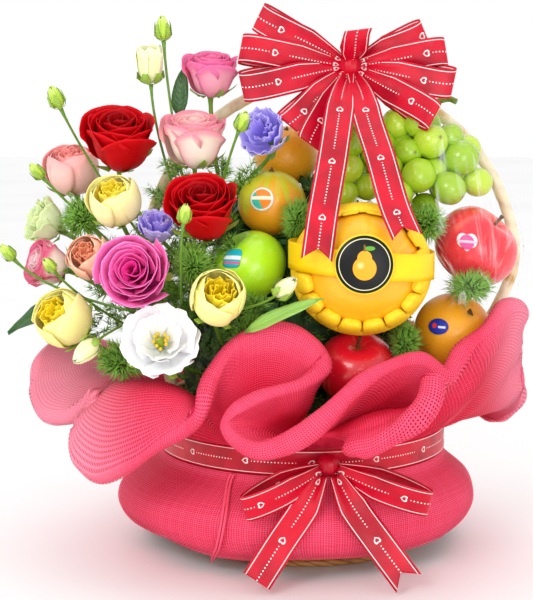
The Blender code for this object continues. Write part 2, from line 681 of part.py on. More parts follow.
def build_pear_paper(parts):
    """The paper band round the pear and its foam, and the round label over it."""
    centre = np.array(FRUIT[3][1], float)
    turns = np.linspace(0, 2 * math.pi, 24, endpoint=False)
    half_x = NET_HALF[0] + BAND_CLEAR_SIDE
    out = np.stack([np.cos(turns), np.sin(turns), np.zeros_like(turns)], 1)
    half_y = np.where(out[:, 1] < 0, FRUIT[3][2][2], NET_HALF[2]) + BAND_CLEAR_FACE
    rise = np.full(len(turns), BAND_RAISE)
    centres = centre + np.stack([out[:, 0] * half_x, out[:, 1] * half_y, rise], 1)
    centres[:, 2] -= (centres[:, 0] - centre[0]) * math.tan(math.radians(BAND_SLANT))
    normal = unit(np.stack([out[:, 0] / half_x, out[:, 1] / half_y, np.zeros(len(turns))], 1))
    upright = np.tile(UP, (len(turns), 1))
    sections = strip_sections(centres, upright, normal, BAND_HEIGHT, BAND_THICK)
    loft("pear_band", sections, "yellow_paper", parts, True)

    rows = disc_rows(LABEL_RADII, 0.0, LABEL_THICK)

    def place(turn, row):
        radius = np.array([r for r, _ in rows])[row]
        lift = np.array([h for _, h in rows])[row]
        x = LABEL_MIDDLE[0] + radius * np.cos(turn)
        z = LABEL_MIDDLE[1] + radius * np.sin(turn)
        half_x, half_y, half_z = LABEL_BULGE
        bulge = half_y * np.sqrt(1.0 - (x / half_x) ** 2 - (z / half_z) ** 2)
        return centre + np.stack([x, -(bulge + lift), z], 1)

    ball_grid("pear_label", 16, len(rows) - 2, place, "dark_label", parts)


def plain_ball(name, centre, half, columns, rings, slot, collection):
    """An ellipsoid with its three half sizes."""

    def place(turn, row):
        level = row / (rings + 1) * math.pi
        out = np.stack([np.sin(level) * np.cos(turn), np.sin(level) * np.sin(turn), -np.cos(level)], 1)
        return np.array(centre, float) + out * np.array(half, float)

    return ball_grid(name, columns, rings, place, slot, collection)


def build_grapes(parts):
    """The bunch of grapes: berries fused to a smaller core."""
    core = plain_ball("grapes", *GRAPE_CORE, 8, 5, "grape", parts)
    berries = [
        plain_ball(f"berry_{i}", (x, y, z), (radius, radius, radius), 6, 4, "grape", parts)
        for i, (x, y, z, radius) in enumerate(GRAPES)
    ]
    union(core, berries)


def grown_head(
    name, centre, radius, face, rows, middle, root, stem_radius, slot, parts, columns, spiral=0.10
):
    """A flower head or bud on its stem, as one ball grid.

    The rows run from the stem's foot up the stem, round the outside of the head and in to
    its middle. The stem leaves the head along its axis and bends to the root.
    """
    axis = direction(*face)
    level, across = frame_of(axis)
    centre = np.array(centre, float)
    foot = centre + axis * rows[0][0] * radius
    root = np.array(root, float)
    bend = foot - axis * np.linalg.norm(root - foot) * 0.35
    shares = np.array([0.0, 0.5])
    stem = [(1 - s) ** 2 * root + 2 * s * (1 - s) * bend + s**2 * foot for s in shares]
    ahead = [unit(2 * (1 - s) * (bend - root) + 2 * s * (foot - bend)) for s in shares]
    stem_rows = len(stem)
    total = 1 + stem_rows + len(rows)

    def place(turn, row):
        points = np.zeros((len(turn), 3))
        turn = turn % (2 * math.pi)
        around = np.cos(turn)[:, None] * level + np.sin(turn)[:, None] * across
        for k in range(total + 1):
            here = row == k
            if k == 0:
                points[here] = root
            elif k <= stem_rows:
                flat = around[here] - (around[here] @ ahead[k - 1])[:, None] * ahead[k - 1]
                points[here] = stem[k - 1] + unit(flat) * stem_radius
            elif k < total:
                height, reach, lobe = rows[k - 1 - stem_rows]
                inner = k - 1 - stem_rows > len(rows) // 2
                swirl = spiral * (turn[here] / math.pi - 1) if inner else 0.0
                reach = reach * (1 + swirl) + lobe * np.cos(5 * turn[here] + 0.8 * height)
                lift = height + lobe * 0.8 * np.cos(5 * turn[here] + 2.0)
                sideways = around[here] * (reach * radius)[:, None]
                points[here] = centre + axis * (lift * radius)[:, None] + sideways
            else:
                points[here] = centre + axis * middle * radius
        return points

    return ball_grid(name, columns, total - 1, place, slot, parts)


def stem_root(start, goal, tree):
    """Where a stem that heads from start for goal meets the foliage, just clear of it."""
    start, goal = np.array(start, float), np.array(goal, float)
    way = unit(goal - start)
    hit = tree.ray_cast(Vector(start * MM), Vector(way))
    length = np.linalg.norm(goal - start)
    if hit[0] is not None:
        length = min(length, max(hit[3] / MM - 2.5, 2.0))
    return start + way * length


def build_blooms(parts, tree):
    """The cut flowers, each on a stem that reaches the foliage."""
    for name, centre, radius, face, rows, middle, goal, slot in BLOOMS:
        foot = np.array(centre, float) + direction(*face) * rows[0][0] * radius
        root = stem_root(foot, goal, tree)
        grown_head(name, centre, radius, face, rows, middle, root, 2.2, slot, parts, 8)


def build_buds(parts, tree):
    """The closed buds on their thin stems."""
    for name, centre, radius, face, goal in BUDS:
        foot = np.array(centre, float) + direction(*face) * BUD[0][0] * radius
        root = stem_root(foot, goal, tree)
        grown_head(name, centre, radius, face, BUD, BUD_TIP, root, 1.3, "bud_green", parts, 5, 0.0)


def build_ferns(parts):
    """Tufts of fern: balls whose skin goes in and out at the size of the sprigs."""
    columns, rings = 8, 5
    for name, centre, half in FERNS:
        draw = random.Random(name)
        bump = np.array([[draw.uniform(0.80, 1.14) for _ in range(columns)] for _ in range(rings + 2)])

        def place(turn, row):
            level = row / (rings + 1) * math.pi
            column = np.rint(turn / (2 * math.pi) * columns).astype(int) % columns
            out = np.stack([np.sin(level) * np.cos(turn), np.sin(level) * np.sin(turn), -np.cos(level)], 1)
            return np.array(centre, float) + out * np.array(half, float) * bump[row, column][:, None]

        ball_grid(name, columns, rings, place, "fern", parts)


def build_leaves(parts):
    """Broad leaves: thin wavy blades with a sunk midrib."""
    for name, foot, tip, width, face in LEAVES:
        foot, tip = np.array(foot, float), np.array(tip, float)
        along = unit(tip - foot)
        normal = direction(*face)
        normal = unit(normal - (normal @ along) * along)
        across = np.cross(along, normal)
        share = np.linspace(0.0, 1.0, 7)
        length = np.linalg.norm(tip - foot)
        bow = np.sin(share * math.pi) * length * LEAF_BOW
        centres = foot + along * (share * length)[:, None] + normal * bow[:, None]
        breadth = width * (0.06 + 0.94 * np.sin(math.pi * share**0.8) ** 0.8)
        sections = strip_sections(centres, np.tile(across, (7, 1)), np.tile(normal, (7, 1)), breadth, 0.9, 3)
        wave = np.sin(share * 9.0) * width * 0.05
        sections[:, [0, 5]] += normal * wave[:, None, None]
        sections[:, [1, 4]] -= normal * (breadth * 0.12)[:, None, None]
        loft(name, sections, "leaf", parts, False)


def back_roll():
    """Stations of the wrap's edge roll at the back, lobe after lobe."""
    first, last = FRONT_ROLL[-1][0], FRONT_ROLL[0][0] + 360
    stations = []
    for i in range(1, BACK_STATIONS + 1):
        share = i / (BACK_STATIONS + 1)
        azimuth = first + (last - first) * share
        wave = 2 * math.pi * BACK_LOBES * share
        reach = BACK_REACH[0] - BACK_REACH[1] * math.cos(wave)
        height = BACK_HEIGHT[0] - BACK_HEIGHT[1] * math.cos(wave)
        arch = BACK_ARCH[0] - BACK_ARCH[1] * math.cos(wave)
        spot = direction(azimuth + BACK_SWING * math.sin(wave), 0) * reach
        stations.append((azimuth, (spot[0], spot[1], height), arch))
    return stations


def neck_points(out):
    """Points at the top of the neck, in the directions out."""
    return out * NECK_RADIUS + UP * NECK_HIGH


def bent_line(start, roll, arch, out, shares):
    """Points and directions at shares of the bent line from start to the roll's middle."""
    knee = (start + roll) / 2 + UP * arch[:, None] * 2 + out * (6.0 + SAG * np.maximum(-arch, 0.0))[:, None]
    points = (1 - shares) ** 2 * start + 2 * shares * (1 - shares) * knee + shares**2 * roll
    return points, unit(2 * (1 - shares) * (knee - start) + 2 * shares * (roll - knee))


def collar_seat(azimuths):
    """Points inside the collar's cloth at azimuths of the neck, where the flap leaves it."""
    table = np.array([(a, *p, arch) for a, p, arch in FRONT_ROLL], float)
    roll = np.stack([np.interp(azimuths, table[:, 0], table[:, k]) for k in (1, 2, 3)], 1)
    arch = np.interp(azimuths, table[:, 0], table[:, 4])
    turns = np.radians(azimuths)
    out = np.stack([np.sin(turns), -np.cos(turns), np.zeros(len(turns))], 1)
    return bent_line(neck_points(out), roll, arch, out, FLAP_SEAT)[0]


def sheet_sections(stations, count, closed, roll_radius):
    """Sections of the doubled mesh, from its start out to its edge roll and back.

    At each station the sheet's middle is a bent line from the start to the roll. Two skins
    stand off it, close together at the start and a roll's radius apart at the edge. The
    closed sheet starts at the neck and the open one, the flap, inside the collar.
    """
    table = smooth_line([(a, *p, arch) for a, p, arch in stations], count, False)
    if closed:
        raw = [(a, *p, arch) for a, p, arch in stations]
        ahead = [(r[0] + 360, *r[1:]) for r in raw[:3]]
        behind = [(r[0] - 360, *r[1:]) for r in raw[-3:]]
        padded = np.array(behind + raw + ahead, float)
        steps = np.linspace(3, 3 + len(raw), count, endpoint=False)
        dense = smooth_line(padded, (len(padded) - 1) * 20 + 1)
        table = np.stack([np.interp(steps * 20, np.arange(len(dense)), dense[:, k]) for k in range(5)], 1)
    azimuth = np.radians(table[:, 0])
    roll = table[:, 1:4]
    out = np.stack([np.sin(azimuth), -np.cos(azimuth), np.zeros(count)], 1)
    start = neck_points(out) if closed else collar_seat(table[:, 0])
    shares = np.array([0.0, 0.34, 0.68, 1.0])[:, None, None]
    line, out_way = bent_line(start, roll, table[:, 4], out, shares)
    if closed:
        side = np.roll(line, -1, 1) - np.roll(line, 1, 1)
        side[0] = np.cross(UP, out)
    else:
        side = np.gradient(line, axis=1)
        side[0] = side[1]
    normal = unit(np.cross(out_way, unit(side)))
    thick = np.array([FABRIC_HALF, 2.0, 6.0, roll_radius])[:, None, None]
    upper, lower = line + normal * thick, line - normal * thick
    nose = [
        line[-1] + (out_way[-1] * math.cos(a) + normal[-1] * math.sin(a)) * roll_radius
        for a in (math.radians(32), math.radians(-32))
    ]
    loop = [upper[0], upper[1], upper[2], upper[3], *nose, lower[3], lower[2], lower[1], lower[0]]
    if closed:
        lean = np.array([BELLY_LEAN, 0.0, 0.0])
        fullest = max(r for r, _ in BELLY) - NECK_RADIUS
        loop[0] = out * (NECK_RADIUS - 3.0) + UP * (NECK_HIGH + 1.0)
        loop[-1] = neck_points(out)
        loop.append(out * NECK_RADIUS + UP * NECK_LOW)
        loop += [out * r + UP * z + lean * (r - NECK_RADIUS) / fullest for r, z in BELLY]
        loop += [out * r + UP * z for r, z in BELLY_INSIDE]
    return np.stack(loop, 1)


def build_wrap(parts):
    """The pink mesh: a belly round the basket and a ruffled collar of doubled cloth."""
    ring = sheet_sections(FRONT_ROLL + back_roll(), WRAP_STATIONS, True, ROLL_RADIUS)
    wrap = loft("mesh_wrap", ring, "pink_mesh", parts, True)
    flap = sheet_sections(FLAP, FLAP_STATIONS, False, FLAP_ROLL_RADIUS)
    union(wrap, [loft("flap", flap, "pink_mesh", parts, False)])


def build_band(parts):
    """The ribbon round the wrap's neck."""
    turns = np.radians(np.linspace(0, 360, 36, endpoint=False))
    out = np.stack([np.sin(turns), -np.cos(turns), np.zeros_like(turns)], 1)
    radius = NECK_RADIUS + GAP + RIBBON_THICK
    middle = (NECK_LOW + NECK_HIGH) / 2
    width = NECK_HIGH - NECK_LOW - 2.0
    across = np.tile(UP, (len(turns), 1))
    sections = strip_sections(out * radius + UP * middle, across, out, width, RIBBON_THICK)
    loft("ribbon_band", sections, "red_ribbon", parts, True)


def bow_loop(name, knot, tip, thick, roll, parts, segments=6):
    """One bow loop: a strip out from the knot to the tip and back behind itself."""
    knot, tip = np.array(knot, float), np.array(tip, float)
    along = unit(tip - knot)
    depth = unit(np.array([0.0, -1.0, 0.0]) + along[1] * along)
    across = np.cross(along, depth)
    turn = math.radians(roll)
    depth, across = (
        depth * math.cos(turn) + across * math.sin(turn),
        across * math.cos(turn) - depth * math.sin(turn),
    )
    length = np.linalg.norm(tip - knot)
    angle = np.linspace(LOOP_START, 2 * math.pi - LOOP_START, segments + 1)
    out = (1 - np.cos(angle)) / 2
    away = np.sin(angle) * out**LOOP_FULLNESS * thick / 2
    centres = knot + along * (out * length)[:, None] + depth * away[:, None]
    ahead = unit(np.gradient(centres, axis=0))
    normal = unit(np.cross(np.tile(across, (len(angle), 1)), ahead))
    width = RIBBON * np.clip(LOOP_PINCH + LOOP_SPREAD * out, 0.0, 1.0)
    sections = strip_sections(centres, np.tile(across, (len(angle), 1)), normal, width, RIBBON_THICK)
    return loft(name, sections, "red_ribbon", parts, False)


def bow_tail(name, line, parts, segments=6):
    """One hanging end of a bow, cut to a swallowtail."""
    centres = smooth_line(line, segments)
    ahead = unit(np.gradient(centres, axis=0))
    level = np.array([1.0, 0.0, 0.0])
    across = unit(level - ahead * (ahead @ level)[:, None])
    normal = unit(np.cross(across, ahead))
    width = RIBBON * np.clip(np.linspace(0.45, 2.2, segments), 0.0, 1.0)
    sections = strip_sections(centres, across, normal, width, RIBBON_THICK, 3, NOTCH)
    return loft(name, sections, "red_ribbon", parts, False)


def bow_tie(name, parts):
    """The turn of ribbon that ties the upper bow round the cane."""
    turns = np.linspace(0, 2 * math.pi, 8, endpoint=False)
    cx, cz = HOOP_CENTRE
    lean = math.asin((TOP_KNOT[0] - cx) / HOOP_RADIUS)
    outward = np.array([math.sin(lean), 0.0, math.cos(lean)])
    along = np.array([math.cos(lean), 0.0, -math.sin(lean)])
    out = np.cos(turns)[:, None] * outward + np.sin(turns)[:, None] * np.array([0.0, 1.0, 0.0])
    reach = out * TIE_RADIUS
    reach[:, 1] *= np.where(reach[:, 1] < 0, TIE_REACH / TIE_RADIUS, 1.0)
    centre = np.array([cx, HOOP_DEPTH, cz]) + outward * HOOP_RADIUS
    across = np.tile(along, (len(turns), 1))
    sections = strip_sections(centre + reach, across, out, TIE_WIDTH, RIBBON_THICK)
    return loft(name, sections, "red_ribbon", parts, True)


def build_bow(name, knot, knot_half, loops, tails, parts, more=()):
    """A tied bow: loops and tails fused to the knot."""
    core = plain_ball(name, knot, knot_half, 8, 4, "red_ribbon", parts)
    pieces = [bow_loop(f"{name}_loop_{i}", knot, *loop, parts) for i, loop in enumerate(loops)]
    pieces += [bow_tail(f"{name}_tail_{i}", line, parts) for i, line in enumerate(tails)]
    union(core, pieces + list(more))


def build_film(parts):
    """The clear film: one taut skin over the fruit at the right, from the hoop to its edge.

    It is the outer hull of balls a little larger than the fruit, cut to a panel by planes
    and given its thickness outwards.
    """
    fruit = {item[0]: item for item in FRUIT}
    balls = [(fruit[n][1], max(fruit[n][2]), 2) for n in ("red_apple_right", "orange_right")]
    balls += [(g[:3], g[3], 1) for g in GRAPES if g[0] > FILM_LEFT - 20]
    balls += [(f[1], max(f[2]), 1) for f in FERNS if f[0] in ("fern_grape", "fern_apple")]
    balls += [(p, CANE_RADIUS, 1) for p in handle_line() if p[0] > FILM_LEFT]
    work = bmesh.new()
    for centre, radius, fine in balls:
        made = bmesh.ops.create_icosphere(work, subdivisions=fine, radius=(radius + FILM_CLEAR) * MM)
        bmesh.ops.translate(work, verts=made["verts"], vec=Vector(centre) * MM)
    hull = bmesh.ops.convex_hull(work, input=work.verts)
    loose = {e for e in hull["geom_interior"] + hull["geom_unused"] if isinstance(e, bmesh.types.BMVert)}
    bmesh.ops.delete(work, geom=list(loose), context="VERTS")
    kept = {f for f in hull["geom"] if f.is_valid and isinstance(f, bmesh.types.BMFace)}
    bmesh.ops.delete(work, geom=[f for f in work.faces if f not in kept], context="FACES_ONLY")
    planes = [
        ((FILM_LEFT, 0, 0), (-1, 0, 0)),
        ((0, FILM_BACK, 0), (0, 1, 0)),
        ((0, 0, FILM_LOW), (0, 0, -1)),
    ]
    for point, away in planes:
        geometry = list(work.verts) + list(work.edges) + list(work.faces)
        bmesh.ops.bisect_plane(
            work, geom=geometry, plane_co=Vector(point) * MM, plane_no=away, clear_outer=True
        )
    bmesh.ops.triangulate(work, faces=work.faces)
    bmesh.ops.recalc_face_normals(work, faces=work.faces)
    mesh = bpy.data.meshes.new("film")
    work.to_mesh(mesh)
    work.free()
    film = add_object("film", mesh, "film", parts)
    wall = film.modifiers.new("thickness", "SOLIDIFY")
    wall.thickness = FILM_THICK * MM
    wall.offset = 1.0


def main():
    """Builds every piece."""
    clear_scene()
    parts = new_collection(PART)
    build_basket(parts)
    build_handle(parts)
    foliage = build_foliage(parts)
    bpy.context.view_layer.update()
    tree = tree_of(foliage)
    build_fruit(parts)
    build_stickers(parts)
    build_net(parts)
    build_pear_paper(parts)
    build_grapes(parts)
    build_blooms(parts, tree)
    build_buds(parts, tree)
    build_ferns(parts)
    build_leaves(parts)
    build_wrap(parts)
    build_band(parts)
    build_bow("bow_top", TOP_KNOT, (11, 21, 12), TOP_LOOPS, TOP_TAILS, parts, [bow_tie("tie", parts)])
    build_bow("bow_front", FRONT_KNOT, (9, 8, 9), FRONT_LOOPS, FRONT_TAILS, parts)
    build_film(parts)


main()
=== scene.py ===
"""Looks of a gift basket of fresh fruit and cut flowers, wrapped in mesh and tied with ribbon.

Tables are in millimetres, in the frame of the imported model: the origin is the middle of the
basket's foot, +Z is up and the front faces -Y. Angles are in degrees where a name says so
or a table holds them: an azimuth of 0 looks out at the front and one of 90 at +X.
"""

import logging
import math
from dataclasses import dataclass
from enum import Enum

import bpy
import numpy as np
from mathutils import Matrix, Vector

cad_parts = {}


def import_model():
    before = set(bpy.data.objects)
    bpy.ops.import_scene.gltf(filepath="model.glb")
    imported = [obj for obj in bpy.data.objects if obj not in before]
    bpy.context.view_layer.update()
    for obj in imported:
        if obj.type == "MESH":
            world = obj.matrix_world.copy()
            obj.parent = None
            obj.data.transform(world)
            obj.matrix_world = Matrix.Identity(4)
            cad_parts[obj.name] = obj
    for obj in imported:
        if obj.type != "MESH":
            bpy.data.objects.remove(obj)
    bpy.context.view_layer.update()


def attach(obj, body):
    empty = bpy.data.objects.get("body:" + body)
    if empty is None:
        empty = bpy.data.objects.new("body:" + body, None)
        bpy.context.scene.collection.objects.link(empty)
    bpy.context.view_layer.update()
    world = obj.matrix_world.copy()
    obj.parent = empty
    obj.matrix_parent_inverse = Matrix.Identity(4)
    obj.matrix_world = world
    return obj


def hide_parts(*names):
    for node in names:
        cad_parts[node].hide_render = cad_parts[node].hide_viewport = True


Array = np.ndarray
Triple = tuple[float, float, float]
Pair = tuple[float, float]
Material, Item = bpy.types.Material, bpy.types.Object
Socket, Tree = bpy.types.NodeSocket, bpy.types.NodeTree

MM = 0.001
UP = np.array([0.0, 0.0, 1.0])
BODY = "root"
HOOP_CENTRE, HOOP_RADIUS, HOOP_DEPTH = (24.0, 242.0), 163.0, 17.0
GOLDEN_ANGLE = math.pi * (3 - math.sqrt(5))
LOG = logging.getLogger("gift_basket")


def unit(vectors: Array) -> Array:
    """Vectors scaled to length one along their last axis: v / |v|."""
    vectors = np.asarray(vectors, float)
    return vectors / np.maximum(np.linalg.norm(vectors, axis=-1, keepdims=True), 1e-12)


def direction(azimuth: float | Array, elevation: float | Array) -> Array:
    """Unit vector (sin a cos e, -cos a cos e, sin e) of angles in degrees."""
    a, e = np.radians(azimuth), np.radians(elevation)
    return np.stack([np.sin(a) * np.cos(e), -np.cos(a) * np.cos(e), np.sin(e) + 0 * a], -1)


def frame_of(axis: Array) -> tuple[Array, Array]:
    """Two unit vectors square to axis and to each other.

    Args:
        axis: a direction, or an array of them along its last axis.

    Returns:
        level = UP x axis, or +X where the axis is upright, and axis x level.
    """
    axis = unit(axis)
    level = np.cross(UP, axis)
    upright = np.linalg.norm(level, axis=-1, keepdims=True) < 1e-6
    level = unit(np.where(upright, np.array([1.0, 0.0, 0.0]), level))
    return level, np.cross(axis, level)


def smooth_line(points: Array, count: int) -> Array:
    """Points read evenly from a Catmull-Rom curve through the given points.

    Between p1 and p2 the curve is (2 p1 + (p2 - p0) s + (2 p0 - 5 p1 + 4 p2 - p3) s^2
    + (3 p1 - p0 - 3 p2 + p3) s^3) / 2, with s from 0 to 1.

    Args:
        points: (n, k) points to pass through.
        count: how many points to read.

    Returns:
        (count, k) points.
    """
    points = np.asarray(points, float)
    at = np.linspace(0, len(points) - 1, count)
    first = np.minimum(np.floor(at).astype(int), len(points) - 2)
    s = (at - first)[:, None]
    padded = np.vstack([2 * points[0] - points[1], points, 2 * points[-1] - points[-2]])
    p0, p1, p2, p3 = (padded[first + k] for k in range(4))
    return 0.5 * (
        2 * p1
        + (p2 - p0) * s
        + (2 * p0 - 5 * p1 + 4 * p2 - p3) * s**2
        + (3 * p1 - p0 - 3 * p2 + p3) * s**3
    )


def bezier(controls: Array, t: Array) -> Array:
    """Cubic Bezier (1-t)^3 a + 3 t (1-t)^2 b + 3 t^2 (1-t) c + t^3 d.

    Args:
        controls: (..., 4, k) control points.
        t: shares from 0 to 1, with an axis for each of the curve's leading axes.

    Returns:
        The points, with the controls' last axis kept.
    """
    a, b, c, d = (controls[..., k, :] for k in range(4))
    t = t[..., None]
    return (1 - t) ** 3 * a + 3 * t * (1 - t) ** 2 * b + 3 * t**2 * (1 - t) * c + t**3 * d


def ease(value: Array, low: float, high: float) -> Array:
    """Smooth step 3x^2 - 2x^3 of x = (value - low) / (high - low), held within 0 and 1."""
    x = np.clip((value - low) / (high - low), 0.0, 1.0)
    return x * x * (3 - 2 * x)


def ripple(points: Array, size: float, seed: int) -> Array:
    """Smooth uneven waves: the mean of six sines of the point along seeded directions.

    Args:
        points: (..., 3) places in millimetres.
        size: the usual length of a wave in millimetres.
        seed: which set of directions is drawn.

    Returns:
        Values of about -1 to 1.
    """
    draw = np.random.default_rng(seed)
    ways = unit(draw.normal(size=(6, 3))) * draw.uniform(0.6, 1.7, (6, 1)) * 2 * math.pi / size
    return np.sin(points @ ways.T + draw.uniform(0, 2 * math.pi, 6)).mean(-1) * 1.8


def spread(*parts: Array | float) -> Array:
    """The parts spread to one shape and stacked along a new last axis."""
    return np.stack(np.broadcast_arrays(*parts), -1)


def full_turn(count: int) -> Array:
    """Angles of even steps round a circle, from 0."""
    return np.linspace(0, 2 * math.pi, count, endpoint=False)


def globe(rows: int, columns: int) -> tuple[Array, Array]:
    """Polar angles in a column and turns in a row, for a grid over a ball."""
    return np.linspace(0, math.pi, rows)[:, None], full_turn(columns)[None]


def sphere(polar: Array, turn: Array) -> Array:
    """Unit vectors (sin p cos t, sin p sin t, cos p) of a polar angle and a turn."""
    return spread(np.sin(polar) * np.cos(turn), np.sin(polar) * np.sin(turn), np.cos(polar))


def place(local: Array, centre: Triple, face: Pair) -> Array:
    """Points of a frame whose +Z faces an azimuth and elevation, moved to its centre."""
    axis = direction(*face)
    return np.array(centre, float) + local @ np.stack([*frame_of(axis), axis])


def run_length(line: Array) -> Array:
    """Distance along a line from its first point to each of its points."""
    return np.concatenate([[0], np.cumsum(np.linalg.norm(np.diff(line, axis=0), axis=1))])


@dataclass
class Surface:
    """Faces and points of one piece, in millimetres.

    Attributes:
        points: (n, 3) places.
        quads: (q, 4) corners.
        tris: (t, 3) corners.
        uv: (n, 2) place on the piece's own surface.
        paint: (n, 3) values that its finish reads.
    """

    points: Array
    quads: Array
    tris: Array
    uv: Array
    paint: Array

    @staticmethod
    def grid(
        points: Array,
        closed: bool = False,
        ring: bool = False,
        uv: Array | None = None,
        paint: Array | None = None,
    ) -> "Surface":
        """A patch, or a stack of like patches, through grids of points.

        Args:
            points: (..., rows, columns, 3) places.
            closed: whether the last column joins the first.
            ring: whether the last row joins the first.
            uv: (..., rows, columns, 2) own coordinates; shares of columns and rows if None.
            paint: (..., rows, columns, 3) values, or anything that spreads to that shape.

        Returns:
            The surface.
        """
        rows, columns = points.shape[-3:-1]
        i = np.arange(rows if ring else rows - 1)[:, None]
        j = np.arange(columns if closed else columns - 1)[None]
        above, beside = (i + 1) % rows, (j + 1) % columns
        corners = [i * columns + j, i * columns + beside, above * columns + beside, above * columns + j]
        one = np.stack(corners, -1).reshape(-1, 4)
        stack = points.reshape(-1, rows * columns, 3)
        quads = (np.arange(len(stack))[:, None, None] * rows * columns + one).reshape(-1, 4)
        if uv is None:
            u, v = np.meshgrid(np.linspace(0, 1, columns), np.linspace(0, 1, rows))
            uv = np.stack([u, v], -1)
        paint = np.zeros(3) if paint is None else paint
        shape = points.shape[:-1]
        return Surface(
            stack.reshape(-1, 3),
            quads,
            np.zeros((0, 3), int),
            np.broadcast_to(uv, shape + (2,)).reshape(-1, 2),
            np.broadcast_to(paint, shape + (3,)).reshape(-1, 3),
        )

    @staticmethod
    def ball(points: Array, paint: Array | None = None) -> "Surface":
        """A closed surface, or a stack of them, from rings of points between two poles.

        Args:
            points: (..., rows, columns, 3) places. The first and the last row are the
                poles, and the mean of each is taken as its point.
            paint: values as grid takes them.

        Returns:
            The surface, with its faces pointing out.
        """
        stack = points.reshape(-1, *points.shape[-3:])
        count, rows, columns = stack.shape[:3]
        if paint is not None:
            paint = np.broadcast_to(paint, points.shape).reshape(stack.shape)
        inner = Surface.grid(stack[:, 1:-1], closed=True, paint=None if paint is None else paint[:, 1:-1])
        poles = stack[:, [0, -1]].mean(2).transpose(1, 0, 2).reshape(-1, 3)
        size = count * (rows - 2) * columns
        base = np.arange(count)[:, None] * (rows - 2) * columns
        j = np.arange(columns)[None]
        beside = (j + 1) % columns
        far = (rows - 3) * columns
        low = np.broadcast_to(size + np.arange(count)[:, None], (count, columns))
        high = low + count
        lower = np.stack([low, base + beside, base + j], -1)
        upper = np.stack([high, base + far + j, base + far + beside], -1)
        pole_paint = np.zeros((2 * count, 3))
        if paint is not None:
            pole_paint = paint[:, [0, -1]].mean(2).transpose(1, 0, 2).reshape(-1, 3)
        pole_uv = np.repeat([[0.5, 0.0], [0.5, 1.0]], count, 0)
        made = Surface(
            np.vstack([inner.points, poles]),
            inner.quads,
            np.vstack([lower.reshape(-1, 3), upper.reshape(-1, 3)]),
            np.vstack([inner.uv, pole_uv]),
            np.vstack([inner.paint, pole_paint]),
        )
        return made.outward()

    @staticmethod
    def tube(line: Array, radius: float | Array, sides: int = 12, paint: Array | None = None) -> "Surface":
        """A round tube, or a stack of them, along lines, with rounded ends.

        The section at each point is p + r (cos a u + sin a w), where u and w are square
        to the line's direction.

        Args:
            line: (..., n, 3) points.
            radius: one radius, or one for each point.
            sides: points round a section.
            paint: values as grid takes them.

        Returns:
            The surface.
        """
        ahead = unit(np.gradient(line, axis=-2))
        flat = np.abs(ahead[..., 2]).max() > 0.95
        guide = np.array([0.0, 1.0, 0.0]) if flat else UP
        level = unit(np.cross(guide, ahead))
        across = np.cross(ahead, level)
        turn = full_turn(sides)[:, None]
        reach = np.broadcast_to(np.asarray(radius, float), line.shape[:-1])[..., None, None]
        around = np.cos(turn) * level[..., None, :] + np.sin(turn) * across[..., None, :]
        rings = line[..., None, :] + around * reach
        first, last = rings[..., :1, :, :], rings[..., -1:, :, :]
        caps = [np.broadcast_to(end.mean(-2, keepdims=True), end.shape) for end in (first, last)]
        rings = np.concatenate([caps[0], rings, caps[1]], -3)
        if paint is not None:
            paint = np.concatenate([paint[..., :1, :, :], paint, paint[..., -1:, :, :]], -3)
        return Surface.ball(rings, paint)

    @staticmethod
    def join(parts: list["Surface"]) -> "Surface":
        """One surface of several, with their corners renumbered."""
        starts = np.cumsum([0] + [len(p.points) for p in parts[:-1]])
        return Surface(
            np.vstack([p.points for p in parts]),
            np.vstack([p.quads + s for p, s in zip(parts, starts)]),
            np.vstack([p.tris + s for p, s in zip(parts, starts)]),
            np.vstack([p.uv for p in parts]),
            np.vstack([p.paint for p in parts]),
        )

    def outward(self) -> "Surface":
        """Turns the faces over if the closed surface holds a negative volume."""
        p = self.points
        fans = np.vstack([self.tris, self.quads[:, [0, 1, 2]], self.quads[:, [0, 2, 3]]])
        volume = (p[fans[:, 0]] * np.cross(p[fans[:, 1]], p[fans[:, 2]])).sum()
        if volume < 0:
            self.quads, self.tris = self.quads[:, ::-1], self.tris[:, ::-1]
        return self

    def build(self, name: str, finish: Material, thick: float = 0.0) -> Item:
        """Makes the Blender object, smooth shaded.

        Args:
            name: the piece's name.
            finish: its material.
            thick: wall added by Solidify on both sides of an open surface, in millimetres.

        Returns:
            The object, at the origin, with its place in its mesh.
        """
        mesh = bpy.data.meshes.new(name)
        corners = np.concatenate([self.quads.ravel(), self.tris.ravel()]).astype(np.int32)
        sizes = np.concatenate([np.full(len(self.quads), 4), np.full(len(self.tris), 3)])
        mesh.vertices.add(len(self.points))
        mesh.vertices.foreach_set("co", (self.points * MM).astype(np.float32).ravel())
        mesh.loops.add(len(corners))
        mesh.loops.foreach_set("vertex_index", corners)
        mesh.polygons.add(len(sizes))
        mesh.polygons.foreach_set("loop_start", (np.cumsum(sizes) - sizes).astype(np.int32))
        mesh.uv_layers.new(name="UVMap").data.foreach_set("uv", self.uv[corners].astype(np.float32).ravel())
        tint = np.column_stack([self.paint, np.ones(len(self.paint))]).astype(np.float32)
        mesh.attributes.new("paint", "FLOAT_COLOR", "POINT").data.foreach_set("color", tint.ravel())
        mesh.update(calc_edges=True)
        mesh.validate()
        mesh.shade_smooth()
        mesh.materials.append(finish)
        made = bpy.data.objects.new(name, mesh)
        bpy.context.scene.collection.objects.link(made)
        if thick:
            wall = made.modifiers.new("wall", "SOLIDIFY")
            wall.thickness = thick * MM
            wall.offset = 0.0
        return made


def dress(piece: Item, slot: str, *nodes: str) -> Item:
    """Puts a piece on the body, in the place of the nodes that it stands for."""
    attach(piece, BODY)
    if nodes:
        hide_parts(*nodes)
    LOG.info("%s: %d faces", piece.name, len(piece.data.polygons))
    return piece


